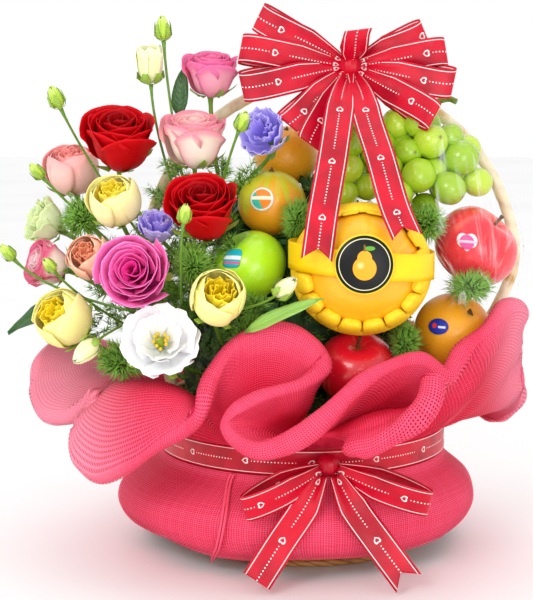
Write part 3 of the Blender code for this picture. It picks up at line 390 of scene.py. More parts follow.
def linear(code: str) -> tuple[float, float, float, float]:
    """Linear RGBA of an sRGB hex code such as #FF8800."""
    srgb = np.array([int(code[i : i + 2], 16) for i in (1, 3, 5)]) / 255.0
    rgb = np.where(srgb <= 0.04045, srgb / 12.92, ((srgb + 0.055) / 1.055) ** 2.4)
    return (*(float(c) for c in rgb), 1.0)


def add_node(
    tree: Tree,
    kind: str,
    links: dict[str | int, Socket] | None = None,
    values: dict[str | int, object] | None = None,
    **settings: object,
) -> bpy.types.Node:
    """Adds one node with its settings and links.

    Args:
        tree: the material's node tree.
        kind: the node's type, without its leading ShaderNode.
        links: the outputs that feed its inputs.
        values: the values that its other inputs hold.
        settings: its properties.

    Returns:
        The node.
    """
    made = tree.nodes.new("ShaderNode" + kind)
    for name, value in settings.items():
        setattr(made, name, value)
    for name, value in (values or {}).items():
        made.inputs[name].default_value = value
    for name, socket in (links or {}).items():
        tree.links.new(socket, made.inputs[name])
    return made


@dataclass(frozen=True)
class Field:
    """A number that changes over a surface, worked out by math nodes."""

    tree: Tree
    socket: Socket

    def math(self, operation: str, other: "Field | float | None" = None) -> "Field":
        """This value and another through one Math node."""
        links, values = {0: self.socket}, {}
        if isinstance(other, Field):
            links[1] = other.socket
        elif other is not None:
            values[1] = float(other)
        made = add_node(self.tree, "Math", links, values, operation=operation)
        return Field(self.tree, made.outputs[0])

    def __add__(self, other: "Field | float") -> "Field":
        """Sum."""
        return self.math("ADD", other)

    def __sub__(self, other: "Field | float") -> "Field":
        """Difference."""
        return self.math("SUBTRACT", other)

    def __mul__(self, other: "Field | float") -> "Field":
        """Product."""
        return self.math("MULTIPLY", other)

    def __pow__(self, other: float) -> "Field":
        """Power."""
        return self.math("POWER", other)

    def wave(self, period: float) -> "Field":
        """Distance from the nearest multiple of a period: 0 there, half a period between."""
        return self.math("PINGPONG", period / 2)

    def step(self, low: float, high: float) -> "Field":
        """Smooth step from 0 at low to 1 at high; it falls where low is the larger."""
        made = add_node(
            self.tree,
            "MapRange",
            {0: self.socket},
            {1: low, 2: high, 3: 0.0, 4: 1.0},
            interpolation_type="SMOOTHSTEP",
        )
        return Field(self.tree, made.outputs[0])

    def mix(self, low: "Field | str", high: "Field | str") -> "Field":
        """Colour from low, where this value is 0, to high, where it is 1."""
        links, values = {0: self.socket}, {}
        for index, colour in ((6, low), (7, high)):
            if isinstance(colour, Field):
                links[index] = colour.socket
            else:
                values[index] = linear(colour)
        made = add_node(self.tree, "Mix", links, values, data_type="RGBA")
        return Field(self.tree, made.outputs[2])


class Paint:
    """A material under way: its Principled shader and the fields that drive it."""

    def __init__(self, name: str, colour: str, rough: float, **sockets: object) -> None:
        """Starts the material.

        Args:
            name: the material's name.
            colour: its plain colour as sRGB hex.
            rough: its roughness.
            sockets: other values of the shader, with _ for the spaces in their names.
        """
        self.material = bpy.data.materials.new(name)
        self.material.use_nodes = True
        self.tree = self.material.node_tree
        self.shader = self.tree.nodes["Principled BSDF"]
        self.shader.inputs["Base Color"].default_value = linear(colour)
        self.shader.inputs["Roughness"].default_value = rough
        for key, value in sockets.items():
            self.shader.inputs[key.replace("_", " ")].default_value = value

    def split(self, socket: Socket) -> tuple[Field, Field, Field]:
        """The three parts of a vector or colour."""
        made = add_node(self.tree, "SeparateXYZ", {0: socket})
        return tuple(Field(self.tree, out) for out in made.outputs)

    def uv(self) -> tuple[Field, Field]:
        """The piece's own coordinates."""
        return self.split(add_node(self.tree, "UVMap", uv_map="UVMap").outputs[0])[:2]

    def paint(self) -> tuple[Field, Field, Field]:
        """The three painted values of the piece."""
        return self.split(add_node(self.tree, "Attribute", attribute_name="paint").outputs["Vector"])

    def place(self, size: float, stretch: Triple = (1.0, 1.0, 1.0)) -> Socket:
        """Object coordinates counted in cells of a size in millimetres, stretched by axis."""
        where = add_node(self.tree, "TexCoord")
        scale = [1.0 / (MM * size * s) for s in stretch]
        made = add_node(self.tree, "Mapping", {0: where.outputs["Object"]}, {3: scale})
        return made.outputs[0]

    def noise(self, size: float, detail: float = 2.0, stretch: Triple = (1.0, 1.0, 1.0)) -> Field:
        """Cloudy noise of 0 to 1 whose patches are about size millimetres across."""
        where = self.place(size, stretch)
        made = add_node(self.tree, "TexNoise", {0: where}, {"Scale": 1.0, "Detail": detail})
        return Field(self.tree, made.outputs[0])

    def cells(self, size: float) -> Field:
        """Distance to the nearest of scattered points about size millimetres apart."""
        made = add_node(self.tree, "TexVoronoi", {0: self.place(size)}, {"Scale": 1.0})
        return Field(self.tree, made.outputs["Distance"])

    def drive(self, name: str, value: Field) -> "Paint":
        """Feeds a field to one of the shader's sockets."""
        self.tree.links.new(value.socket, self.shader.inputs[name])
        return self

    def bump(self, height: Field, depth: float) -> "Paint":
        """Relief of a field, depth millimetres high where it is 1."""
        made = add_node(
            self.tree, "Bump", {"Height": height.socket}, {"Strength": 1.0, "Distance": depth * MM}
        )
        self.tree.links.new(made.outputs[0], self.shader.inputs["Normal"])
        return self


@dataclass(frozen=True)
class PetalFinish:
    """Fresh petal: soft, slightly waxy, with fine veins from its foot to its lip.

    Attributes:
        name: the variety.
        body, edge, heart: colours of a petal, of its rim and of the innermost petals.
        rim: how wide the edge's colour is, as a share of the petal.
        gloss: how strong the petal's reflection is.
    """

    name: str
    body: str
    edge: str
    heart: str
    rim: float = 0.25
    gloss: float = 0.25

    def material(self) -> Material:
        """Builds the material, which reads uv as place on the petal and paint as whorl; the petals' feet get
        painted shade.
        """
        paint = Paint(
            f"petal_{self.name}", self.body, 0.55, Specular_IOR_Level=self.gloss, Subsurface_Weight=0.12,
            Subsurface_Radius=(0.004, 0.002, 0.0015),
        )
        u, v = paint.uv()
        inner, shade, _ = paint.paint()
        side = (u - 0.5).math("ABSOLUTE") * 2.0
        rim = (side**3 * 0.8).math("MAXIMUM", v.step(1.0 - self.rim * 1.6, 1.0)).math("MINIMUM", 1.0)
        body = inner.mix(self.heart, self.body)
        colour = (rim * inner.step(0.1, 0.8) * 0.9).mix(body, self.edge)
        dark = add_node(
            paint.tree, "HueSaturation", {"Color": colour.socket}, {"Saturation": 1.08, "Value": 0.8}
        )
        # Painted shade: each petal darkens towards its foot, inside the flower. A random quarter of the
        # petals also take the darker colour, as their own tone.
        foot = (v.step(0.5, 0.0) * 0.5).math("MAXIMUM", shade.step(0.75, 1.0) * 0.3)
        paint.drive("Base Color", foot.mix(colour, Field(paint.tree, dark.outputs[0])))
        veins = (u * 22.0).math("SINE") * 0.5 + paint.noise(3.0) * 0.8
        return paint.bump(veins, 0.12).material


@dataclass(frozen=True)
class LeafFinish:
    """Green leaf: waxy face, paler veins, and a tone that changes from leaf to leaf."""

    name: str
    dark: str
    light: str
    rough: float = 0.45

    def material(self) -> Material:
        """Builds the material: uv is across and along the leaf, paint its tone."""
        paint = Paint(f"leaf_{self.name}", self.dark, self.rough, Subsurface_Weight=0.05)
        u, v = paint.uv()
        tone, _, _ = paint.paint()
        rib = (u - 0.5).math("ABSOLUTE").step(0.06, 0.0)
        veins = ((v * 9.0) - (u - 0.5).math("ABSOLUTE") * 3.0).wave(1.0).step(0.12, 0.0)
        colour = (tone * 0.8 + paint.noise(9.0) * 0.3).mix(self.dark, self.light)
        mark = rib.math("MAXIMUM", veins * 0.35) * 0.5
        paint.drive("Base Color", mark.mix(colour, self.light))
        return paint.bump((rib.math("MAXIMUM", veins) * -1.0) + paint.noise(2.0) * 0.3, 0.25).material


@dataclass(frozen=True)
class SkinFinish:
    """Fruit skin: a ground colour, a blush over one side, streaks, and small pale dots.

    Attributes:
        name: the fruit.
        ground, blush, dots: the three colours.
        spacing: distance between dots in millimetres.
        dot: radius of a dot as a share of the spacing.
        rough: roughness of the skin.
        coat: natural wax.
        pit: depth of the skin's relief in millimetres, over cells of the spacing.
    """

    name: str
    ground: str
    blush: str
    dots: str
    spacing: float
    dot: float
    rough: float
    coat: float
    pit: float = 0.03

    def material(self) -> Material:
        """Builds the material: paint holds blush, streak and the depth of the hollows."""
        paint = Paint(
            f"skin_{self.name}", self.ground, self.rough, Coat_Weight=self.coat, Coat_Roughness=0.12,
            Subsurface_Weight=0.06, Subsurface_Radius=(0.006, 0.003, 0.0015),
        )
        blush, streak, hollow = paint.paint()
        cloud = paint.noise(14.0, 3.0)
        amount = (blush + (streak - 0.5) * 0.8 + (cloud - 0.5) * 0.5).step(0.1, 0.8)
        colour = amount.mix(self.ground, self.blush)
        cell = paint.cells(self.spacing)
        colour = (cell.step(self.dot, self.dot * 0.45) * 0.75).mix(colour, self.dots)
        colour = (hollow * 0.8).mix(colour, "#6B5A1E")
        paint.drive("Base Color", colour)
        return paint.bump(cell.step(0.0, 0.5) + paint.noise(self.spacing * 3) * 0.6, self.pit).material


@dataclass(frozen=True)
class GrapeFinish:
    """Green table grape: thin glossy skin over clear flesh, with a faint bloom."""

    ground: str = "#8EBC14"
    light: str = "#C8E240"

    def material(self) -> Material:
        """Builds the material: paint holds tone and the mark at the berry's tip."""
        paint = Paint(
            "skin_grape", self.ground, 0.24, Coat_Weight=0.35, Coat_Roughness=0.08,
            Subsurface_Weight=0.35, Subsurface_Radius=(0.006, 0.007, 0.002),
        )
        tone, tip, _ = paint.paint()
        colour = (tone * 0.7 + paint.noise(6.0) * 0.4).mix(self.ground, self.light)
        paint.drive("Base Color", tip.mix(colour, "#6A5B22"))
        return paint.bump(paint.noise(9.0), 0.15).material


@dataclass(frozen=True)
class MeshFinish:
    """Stiff open mesh of polyester yarn, with painted light: paler at its rolled edges and over its backlit
    lobes, with painted shade in its folds.

    Attributes:
        name: which layer of the mesh.
        deep, lit: colours of painted shade in the folds and of painted light at the rolled edges.
        painted_backlight: painted light of the outer lobes, which the light comes through.
        rough: roughness of the yarn.
    """

    name: str
    deep: str
    lit: str
    painted_backlight: str
    rough: float = 0.6

    def material(self) -> Material:
        """Builds the material: paint holds nearness to the edge, for painted light and shade, the share of
        painted backlight, and the yarn's own tone.
        """
        paint = Paint(self.name, self.lit, self.rough, Specular_IOR_Level=0.2)
        edge, backlight_share, yarn = paint.paint()
        cloud = paint.noise(50.0, 2.0)
        # Painted light at the edges and painted shade in the folds, in soft patches.
        near = (edge + (cloud - 0.5) * 1.1).math("MAXIMUM", 0.0).math("MINIMUM", 1.0)
        colour = (yarn * 0.45).mix(near.mix(self.deep, self.lit), self.deep)
        # Painted light of the backlit outer lobes.
        paint.drive("Base Color", backlight_share.mix(colour, self.painted_backlight))
        return paint.material


@dataclass(frozen=True)
class SatinFinish:
    """Satin ribbon: long floats that gleam, white edge lines, a printed row of hearts, and soft patches of
    painted shade.

    The hearts and dots are a plain stock pattern. All sizes are in millimetres.
    """

    name: str = "ribbon_satin"
    colour: str = "#D4002A"
    deep: str = "#A80020"
    print_colour: str = "#FFF4F2"
    width: float = 25.0
    line_at: float = 2.2
    line_half: float = 0.26
    repeat: float = 56.0
    heart: float = 2.5
    heart_wall: float = 0.62
    dot_gap: float = 2.9
    dot: float = 0.62

    def heart_mask(self, x: Field, y: Field) -> Field:
        """1 inside the heart (x^2 + y^2 - 1)^3 = x^2 y^3, with x and y in its own size."""
        round_part = x**2 + y**2 - 1.0
        cusp = x**2 * y.math("ABSOLUTE") ** 3 * y.math("SIGN")
        return (round_part.math("MULTIPLY", round_part.math("ABSOLUTE") ** 2) - cusp).step(0.06, -0.06)

    def material(self) -> Material:
        """Builds the material: u runs along the ribbon and v across it."""
        paint = Paint(self.name, self.colour, 0.34, Specular_IOR_Level=0.32)
        u, v = paint.uv()
        edge = (v - self.width / 2).math("ABSOLUTE") - (self.width / 2 - self.line_at)
        lines = edge.math("ABSOLUTE").step(self.line_half + 0.15, self.line_half - 0.1)
        along = (u + 1000 * self.repeat).math("MODULO", self.repeat) - self.heart * 2
        across = v - self.width / 2
        inner = self.heart * self.heart_wall
        hearts = self.heart_mask(across * (1 / self.heart), along * (1 / self.heart))
        hearts = hearts - self.heart_mask(across * (1 / inner), along * (1 / inner))
        gap = (along.wave(self.dot_gap) ** 2 + across**2).math("SQRT")
        clear = along.step(self.heart * 2.2, self.heart * 2.4)
        clear = clear * along.step(self.repeat - 12.0, self.repeat - 13.0)
        dots = gap.step(self.dot + 0.15, self.dot - 0.15) * clear
        ink = lines.math("MAXIMUM", hearts).math("MAXIMUM", dots)
        # Painted shade: soft patches of the darker red stand for the shade of the crumpled satin.
        ground = paint.noise(30.0).step(0.35, 0.75).mix(self.colour, self.deep)
        paint.drive("Base Color", ink.mix(ground, self.print_colour))
        ribs = (u * (2 * math.pi / 0.9)).math("SINE")
        return paint.bump(ribs * 0.04 + paint.noise(15.0, 2.0), 0.9).material


@dataclass(frozen=True)
class CaneFinish:
    """Peeled cane: pale, fine grained, with brown patches where the bark stayed on."""

    name: str
    ground: str
    patch: str
    rough: float = 0.5
    grain: float = 1.1

    def material(self) -> Material:
        """Builds the material: paint holds the strand's tone and the painted shade of its creases."""
        paint = Paint(self.name, self.ground, self.rough, Coat_Weight=0.1)
        tone, crease, _ = paint.paint()
        cloud = paint.noise(16.0, 3.0).step(0.52, 0.72)
        colour = (cloud * 0.7 + tone * 0.3).mix(self.ground, self.patch)
        # Painted shade: a dark brown in the creases and gaps.
        paint.drive("Base Color", crease.mix(colour, "#3A2110"))
        return paint.bump(paint.noise(self.grain, 2.0, (1.0, 1.0, 6.0)), 0.12).material


@dataclass(frozen=True)
class PlainFinish:
    """Foam, paper, stalks, floor, or the filling's core of painted shade: one colour with a soft second one
    in patches of its own size.
    """

    name: str
    colour: str
    second: str
    rough: float
    patch: float
    depth: float

    def material(self) -> Material:
        """Builds the material."""
        paint = Paint(self.name, self.colour, self.rough)
        cloud = paint.noise(self.patch, 3.0)
        paint.drive("Base Color", cloud.step(0.35, 0.7).mix(self.colour, self.second))
        return paint.bump(cloud, self.depth).material


@dataclass(frozen=True)
class FilmFinish:
    """Clear wrapping film: glossy, with painted highlights along its creases and in faint streaks, partly the
    whitening of creased film.
    """

    name: str = "clear_film"

    def material(self) -> Material:
        """Builds the material: paint holds how sharp the crease is at each point."""
        paint = Paint(self.name, "#FFFFFF", 0.06, Specular_IOR_Level=0.7, Coat_Weight=0.6)
        crease, _, _ = paint.paint()
        streak = paint.noise(5.0, 3.0, (1.0, 1.0, 7.0)).step(0.58, 0.78)
        # Painted highlight: the white film turns opaque along the creases and in faint streaks; creased film
        # also whitens a little.
        painted_highlight = crease * 0.17 + streak * 0.02 + 0.01
        paint.drive("Alpha", painted_highlight.math("MINIMUM", 0.6))
        paint.bump(paint.noise(7.0, 3.0), 0.5)
        return paint.material


class Label(Enum):
    """The plain designs of the fruit's labels."""

    ROUND = "round"
    TILE = "tile"
    HEART = "heart"
    OVAL = "oval"
    DISC = "disc"


@dataclass(frozen=True)
class LabelFinish:
    """Printed paper label with a generic design: fields of colour and simple shapes."""

    label: Label

    def material(self) -> Material:
        """Builds the material: uv runs from -1 to 1 over the label."""
        paint = Paint(f"label_{self.label.value}", "#FFFFFF", 0.35, Specular_IOR_Level=0.25)
        u, v = paint.uv()
        reach = (u**2 + v**2).math("SQRT")
        if self.label is Label.DISC:
            colour = self.fruit_design(u, v, reach)
        elif self.label is Label.ROUND:
            colour = (u + v * 0.5).step(-0.25, -0.2).mix("#3FBFA8", "#F58A1F")
            colour = (v - 0.1).math("ABSOLUTE").step(0.16, 0.12).mix(colour, "#FFF6D8")
            colour = reach.step(0.80, 0.84).mix(colour, "#FDFDF8")
        elif self.label is Label.TILE:
            colour = (v - 0.05).math("ABSOLUTE").step(0.20, 0.16).mix("#20B5C8", "#F4FAFA")
            colour = (v + 0.45).math("ABSOLUTE").step(0.12, 0.09).mix(colour, "#E65A8C")
        elif self.label is Label.HEART:
            colour = reach.step(0.60, 0.66).mix("#E0509A", "#FBEFF4")
            colour = (v - 0.05).math("ABSOLUTE").step(0.12, 0.09).mix(colour, "#F8C9DE")
        else:
            spot = ((u + 0.35) ** 2 + (v - 0.05) ** 2).math("SQRT")
            colour = spot.step(0.26, 0.22).mix("#1F35B8", "#E63A30")
            bar = (v + 0.05).math("ABSOLUTE").step(0.12, 0.08) * u.step(0.0, 0.06) * u.step(0.75, 0.7)
            colour = bar.mix(colour, "#F4F6FC")
        return paint.drive("Base Color", colour).material

    @staticmethod
    def fruit_design(u: Field, v: Field, reach: Field) -> Field:
        """A plain golden fruit with a leaf and stalk on black, inside two thin rings."""
        low = (u**2 + (v + 0.12) ** 2).math("SQRT").step(0.40, 0.38)
        high = (u**2 + (v - 0.22) ** 2).math("SQRT").step(0.25, 0.23)
        shine = ((u + 0.14) ** 2 + (v + 0.02) ** 2).math("SQRT").step(0.16, 0.02)
        leaf = ((u - 0.17) ** 2 * 1.0 + ((v - 0.53) * 2.4) ** 2).math("SQRT").step(0.19, 0.16)
        stalk = u.math("ABSOLUTE").step(0.035, 0.025) * v.step(0.42, 0.44) * v.step(0.66, 0.64)
        colour = low.math("MAXIMUM", high).mix("#070809", "#F7A91B")
        colour = (shine * 0.7).mix(colour, "#FFE9A0")
        colour = leaf.mix(colour, "#5FA832")
        colour = stalk.mix(colour, "#8A5A20")
        ring = (reach - 0.84).math("ABSOLUTE").step(0.018, 0.010)
        outer = reach.step(0.94, 0.955)
        return outer.mix(ring.mix(colour, "#E9E4B8"), "#F4D21C")


class Variety(Enum):
    """How a flower's petals are set."""

    SPIRAL = "spiral"
    CUP = "cup"
    OPEN = "open"
    FRILL = "frill"


@dataclass(frozen=True)
class Whorl:
    """A run of petals that changes evenly from its first to its last.

    A petal's middle line is a cubic Bezier of (radius, height), in units of the head's
    radius. Angles are in radians.

    Attributes:
        count: petals in the run.
        first, last: four controls of the first and of the last petal's middle line.
        span: half width of these two petals.
        turn: azimuth from one petal to the next.
        twist: how far one side of a petal stands outside the other.
        curl: how far the lip rolls out.
        ruffle, waves: height and number of the waves along the lip.
        peak: how far the sides of the lip drop below its middle.
        inner: painted value of these two petals, 0 at the heart.
        power: power of its share that the change follows.
        start: azimuth of the first petal.
    """

    count: int
    first: tuple
    last: tuple
    span: Pair
    turn: float = GOLDEN_ANGLE
    twist: float = 0.06
    curl: float = 0.05
    ruffle: float = 0.015
    waves: float = 2.0
    peak: float = 0.16
    inner: Pair = (1.0, 1.0)
    power: float = 1.0
    start: float = 0.0

    def petals(self, radius: float, seed: int, rows: int = 14, columns: int = 13) -> tuple[Array, Array]:
        """Points of the petals in the head's own frame, +Z towards its face.

        A petal's point at share t up and s across, from -1 to 1, is at radius r(t) + twist s
        + ruffle sin(waves pi s) t^2 + curl, azimuth a + span w(t) s and height z(t), where
        w(t) is its outline and t is first lowered by peak |s|^2.4 to round the lip.

        Args:
            radius: the head's radius in millimetres.
            seed: which small differences between the petals are drawn.
            rows: points up a petal.
            columns: points across it.

        Returns:
            (count, rows, columns, 3) points and paint.
        """
        draw = np.random.default_rng(seed)
        share = np.linspace(0, 1, self.count)[:, None, None] ** self.power
        s = np.linspace(-1, 1, columns)[None, None]
        up = np.linspace(0, 1, rows)[None, :, None] ** 0.8
        t = up * (1 - self.peak * np.abs(s) ** 2.4)
        first, last = np.array(self.first, float), np.array(self.last, float)
        controls = first + (last - first) * share[..., None]
        jitter = draw.normal(0, 0.018, (self.count, 1, 1, 4, 2))
        jitter[..., 0, :] = 0.0
        way = bezier(controls[:, :, None] + jitter, np.broadcast_to(t, (self.count, rows, columns)))
        reach, height = way[..., 0], way[..., 1]
        span = self.span[0] + (self.span[1] - self.span[0]) * share
        outline = 0.30 + 0.70 * np.sin(np.minimum(up * 1.25, 1.0) * math.pi / 2)
        azimuth = self.start + np.arange(self.count)[:, None, None] * self.turn
        azimuth = azimuth + draw.normal(0, 0.07, (self.count, 1, 1)) + span * outline * s
        lip = ease(up, 0.62, 1.0)
        phase = draw.uniform(0, 2 * math.pi, (self.count, 1, 1))
        side = self.waves * math.pi * s
        wave = np.sin(side + phase) + 0.5 * np.sin(2.3 * side + 2 * phase)
        roll = self.curl * lip**2 * (0.6 + 0.9 * np.abs(s) ** 2)
        reach = reach + self.twist * s * np.minimum(up * 2, 1) + self.ruffle * wave * up**2 + roll
        height = height - roll * 0.6 + self.ruffle * 0.8 * np.cos(side + phase) * up**2
        reach = np.maximum(reach, 0.01)
        points = np.stack([reach * np.cos(azimuth), reach * np.sin(azimuth), height], -1) * radius
        whorl = self.inner[0] + (self.inner[1] - self.inner[0]) * share
        paint = spread(whorl, draw.random((self.count, 1, 1)), up + 0 * s)
        return points, paint


WHORLS = {
    Variety.SPIRAL: [
        Whorl(
            count=24,
            first=((0.02, -0.30), (0.10, -0.10), (0.15, 0.34), (0.06, 0.70)),
            last=((0.12, -0.96), (0.90, -0.98), (0.90, 0.04), (1.00, 0.54)),
            span=(1.9, 0.82),
            twist=0.07,
            curl=0.10,
            peak=0.20,
            inner=(0.15, 1.0),
            power=0.85,
        ),
    ],
    Variety.CUP: [
        Whorl(
            count=11,
            first=((0.02, -0.30), (0.14, 0.00), (0.20, 0.34), (0.14, 0.60)),
            last=((0.10, -0.60), (0.66, -0.40), (0.74, 0.24), (0.56, 0.62)),
            span=(1.3, 0.75),
            ruffle=0.050,
            waves=2.2,
            curl=0.02,
            inner=(0.0, 0.12),
        ),
        Whorl(
            count=7,
            first=((0.10, -0.90), (0.86, -0.96), (1.04, 0.22), (0.50, 0.66)),
            last=((0.12, -0.96), (0.98, -0.94), (1.12, 0.16), (0.80, 0.60)),
            span=(1.15, 1.05),
            twist=0.05,
            curl=0.03,
            peak=0.16,
            inner=(0.7, 1.0),
            start=0.7,
        ),
    ],
    Variety.FRILL: [
        Whorl(
            count=7,
            first=((0.04, -0.50), (0.20, -0.30), (0.30, 0.20), (0.34, 0.64)),
            last=((0.06, -0.60), (0.44, -0.50), (0.56, 0.10), (0.66, 0.62)),
            span=(1.0, 0.85),
            ruffle=0.060,
            waves=3.4,
            curl=0.03,
            twist=0.08,
            inner=(0.3, 0.7),
        ),
        Whorl(
            count=7,
            first=((0.08, -0.80), (0.66, -0.74), (0.82, -0.02), (0.88, 0.50)),
            last=((0.10, -0.84), (0.74, -0.80), (0.92, -0.10), (1.00, 0.34)),
            span=(0.85, 0.80),
            turn=2 * math.pi / 7,
            ruffle=0.060,
            waves=3.2,
            curl=0.05,
            twist=0.08,
        ),
    ],
    Variety.OPEN: [
        Whorl(
            count=6,
            first=((0.08, -0.50), (0.30, -0.40), (0.46, -0.02), (0.56, 0.30)),
            last=((0.08, -0.55), (0.34, -0.46), (0.54, -0.06), (0.66, 0.30)),
            span=(0.95, 0.85),
            turn=2 * math.pi / 6,
            ruffle=0.030,
            waves=2.2,
            curl=0.05,
            twist=0.05,
            inner=(0.6, 0.8),
        ),
        Whorl(
            count=7,
            first=((0.10, -0.66), (0.50, -0.62), (0.80, -0.16), (0.96, 0.14)),
            last=((0.10, -0.70), (0.52, -0.66), (0.84, -0.22), (1.02, 0.06)),
            span=(0.82, 0.76),
            turn=2 * math.pi / 7,
            ruffle=0.040,
            waves=2.4,
            curl=0.06,
            twist=0.05,
            start=0.4,
        ),
    ],
}


RED = PetalFinish("red", "#C2000C", "#DA0414", "#8E0008", 0.2, 0.15)
SALMON = PetalFinish("salmon", "#FFD2CA", "#FFB4B4", "#FFA09A")
BLUSH = PetalFinish("blush", "#FFEBDC", "#F4829E", "#F9BFBC", 0.16)
EDGED = PetalFinish("edged", "#FFECE4", "#E62E7A", "#FBD8DC", 0.22)
ROSE_PINK = PetalFinish("rose_pink", "#F6A9BC", "#EE6AA6", "#EA5C9C")
HOT_PINK = PetalFinish("hot_pink", "#FF5CBC", "#FF98D6", "#F02CA0", 0.3)
CREAM = PetalFinish("cream", "#FFFAC0", "#FFF8A8", "#FFE83C")
PEACH = PetalFinish("peach", "#FFC6A6", "#FFD0B4", "#FFAC84")
YELLOW = PetalFinish("yellow", "#FFF9A4", "#FFFAA6", "#FFE41A")
WHITE = PetalFinish("white", "#FBFBFD", "#FFFFFF", "#EFF3E4")
PALE = PetalFinish("pale", "#F0F8CC", "#E2F2B4", "#D8EAA4")
LILAC = PetalFinish("lilac", "#B9A8FC", "#D2C8FF", "#9A86F0", 0.3)
LIME = PetalFinish("lime", "#BEDD52", "#D8EE86", "#A8CC48")
PALE_BUD = PetalFinish("pale_bud", "#F2F6B8", "#FBFBD0", "#E4EE9C")


@dataclass
class Flower:
    """One cut flower: its petals, the green cup under them and its stem.

    Attributes:
        node: the node that it stands for.
        centre: middle of the head.
        radius: the head's radius.
        face: azimuth and elevation that it faces.
        variety: how its petals are set.
        finish: the petals' finish.
        slot: the petals' slot; it is not used.
    """

    node: str
    centre: Triple
    radius: float
    face: Pair
    variety: Variety
    finish: PetalFinish
    slot: str

    def to_place(self, local: Array) -> Array:
        """Points of the head's own frame, moved to where the head is."""
        return place(local, self.centre, self.face)

    def root(self) -> Array:
        """Where the stem meets the foliage: the node's point that is furthest from the head."""
        found = mesh_points(self.node)
        far = np.linalg.norm(found - np.array(self.centre, float), axis=1)
        return found[far.argmax()]

    def stem(self, foot_height: float, thick: float) -> Surface:
        """The stem, a quadratic curve that leaves the head along its axis."""
        axis = direction(*self.face)
        foot = np.array(self.centre, float) + axis * foot_height * self.radius
        root = self.root()
        bend = foot - axis * np.linalg.norm(root - foot) * 0.35
        s = np.linspace(0, 1, 16)[:, None]
        line = (1 - s) ** 2 * root + 2 * s * (1 - s) * bend + s**2 * foot
        swell = thick * (1 + 0.9 * np.exp(-(((1 - s[:, 0]) / 0.06) ** 2)))
        return Surface.tube(line, swell, 8)

    def sepals(self, seed: int) -> Surface:
        """Five narrow green sepals under the petals."""
        whorl = Whorl(
            count=5,
            first=((0.10, -0.90), (0.55, -0.98), (0.80, -0.70), (0.98, -0.42)),
            last=((0.10, -0.90), (0.55, -0.98), (0.82, -0.72), (1.00, -0.46)),
            span=(0.26, 0.26),
            turn=2 * math.pi / 5,
            peak=0.75,
            twist=0.01,
            ruffle=0.0,
        )
        return self.whorl(whorl, seed, 8, 5, [1, 1, 0])

    def whorl(self, whorl: Whorl, seed: int, rows: int = 14, columns: int = 13, tint: object = 1) -> Surface:
        """One run of the flower's petals or sepals, in place, its paint times a tint."""
        points, paint = whorl.petals(self.radius, seed, rows, columns)
        return Surface.grid(self.to_place(points), paint=paint * tint)

    def hip(self) -> Surface:
        """The round green base that the petals grow from."""
        ball = sphere(*globe(8, 12)) * [0.22, 0.22, -0.176] - UP * 0.84
        return Surface.ball(self.to_place(ball * self.radius))

    def middle(self) -> Surface:
        """The green pistil and yellow stamens of an open flower."""
        draw = np.random.default_rng(3)
        s = np.linspace(0, 1, 6)[None, :, None]
        angle = np.arange(9)[:, None, None] * GOLDEN_ANGLE
        lean = 0.16 + 0.12 * draw.random((9, 1, 1))
        line = [lean * s * np.cos(angle), lean * s * np.sin(angle), -0.45 + 0.42 * s + 0 * angle]
        line = self.to_place(np.concatenate(line, -1) * self.radius)
        thick = 0.022 + 0.035 * ease(s[..., 0], 0.7, 0.9)
        stamens = Surface.tube(line, np.broadcast_to(thick, (9, 6)) * self.radius, 6)
        stamens.paint[:] = (1.0, 0.0, 0.0)
        knob = sphere(*globe(8, 12)) * [0.16, 0.16, -0.26] - UP * 0.22
        return Surface.join([stamens, Surface.ball(self.to_place(knob * self.radius))])

    def build(self, seed: int, greens: dict[str, Material]) -> None:
        """Makes the flower's pieces.

        Args:
            seed: which small differences between the petals are drawn.
            greens: materials of the stems and of the open flowers' middles.
        """
        parts = [self.whorl(whorl, seed * 7 + k) for k, whorl in enumerate(WHORLS[self.variety])]
        head = Surface.join(parts).build(self.node + "_petals", self.finish.material(), 0.35)
        dress(head, self.slot, self.node)
        foot = -0.9 if self.variety is not Variety.OPEN else -0.7
        stem = Surface.join([self.stem(foot, 1.9), self.sepals(seed), self.hip()])
        dress(stem.build(self.node + "_stem", greens["stem"]), "bud_green")
        if self.variety is Variety.OPEN:
            dress(self.middle().build(self.node + "_middle", greens["middle"]), "bud_green")


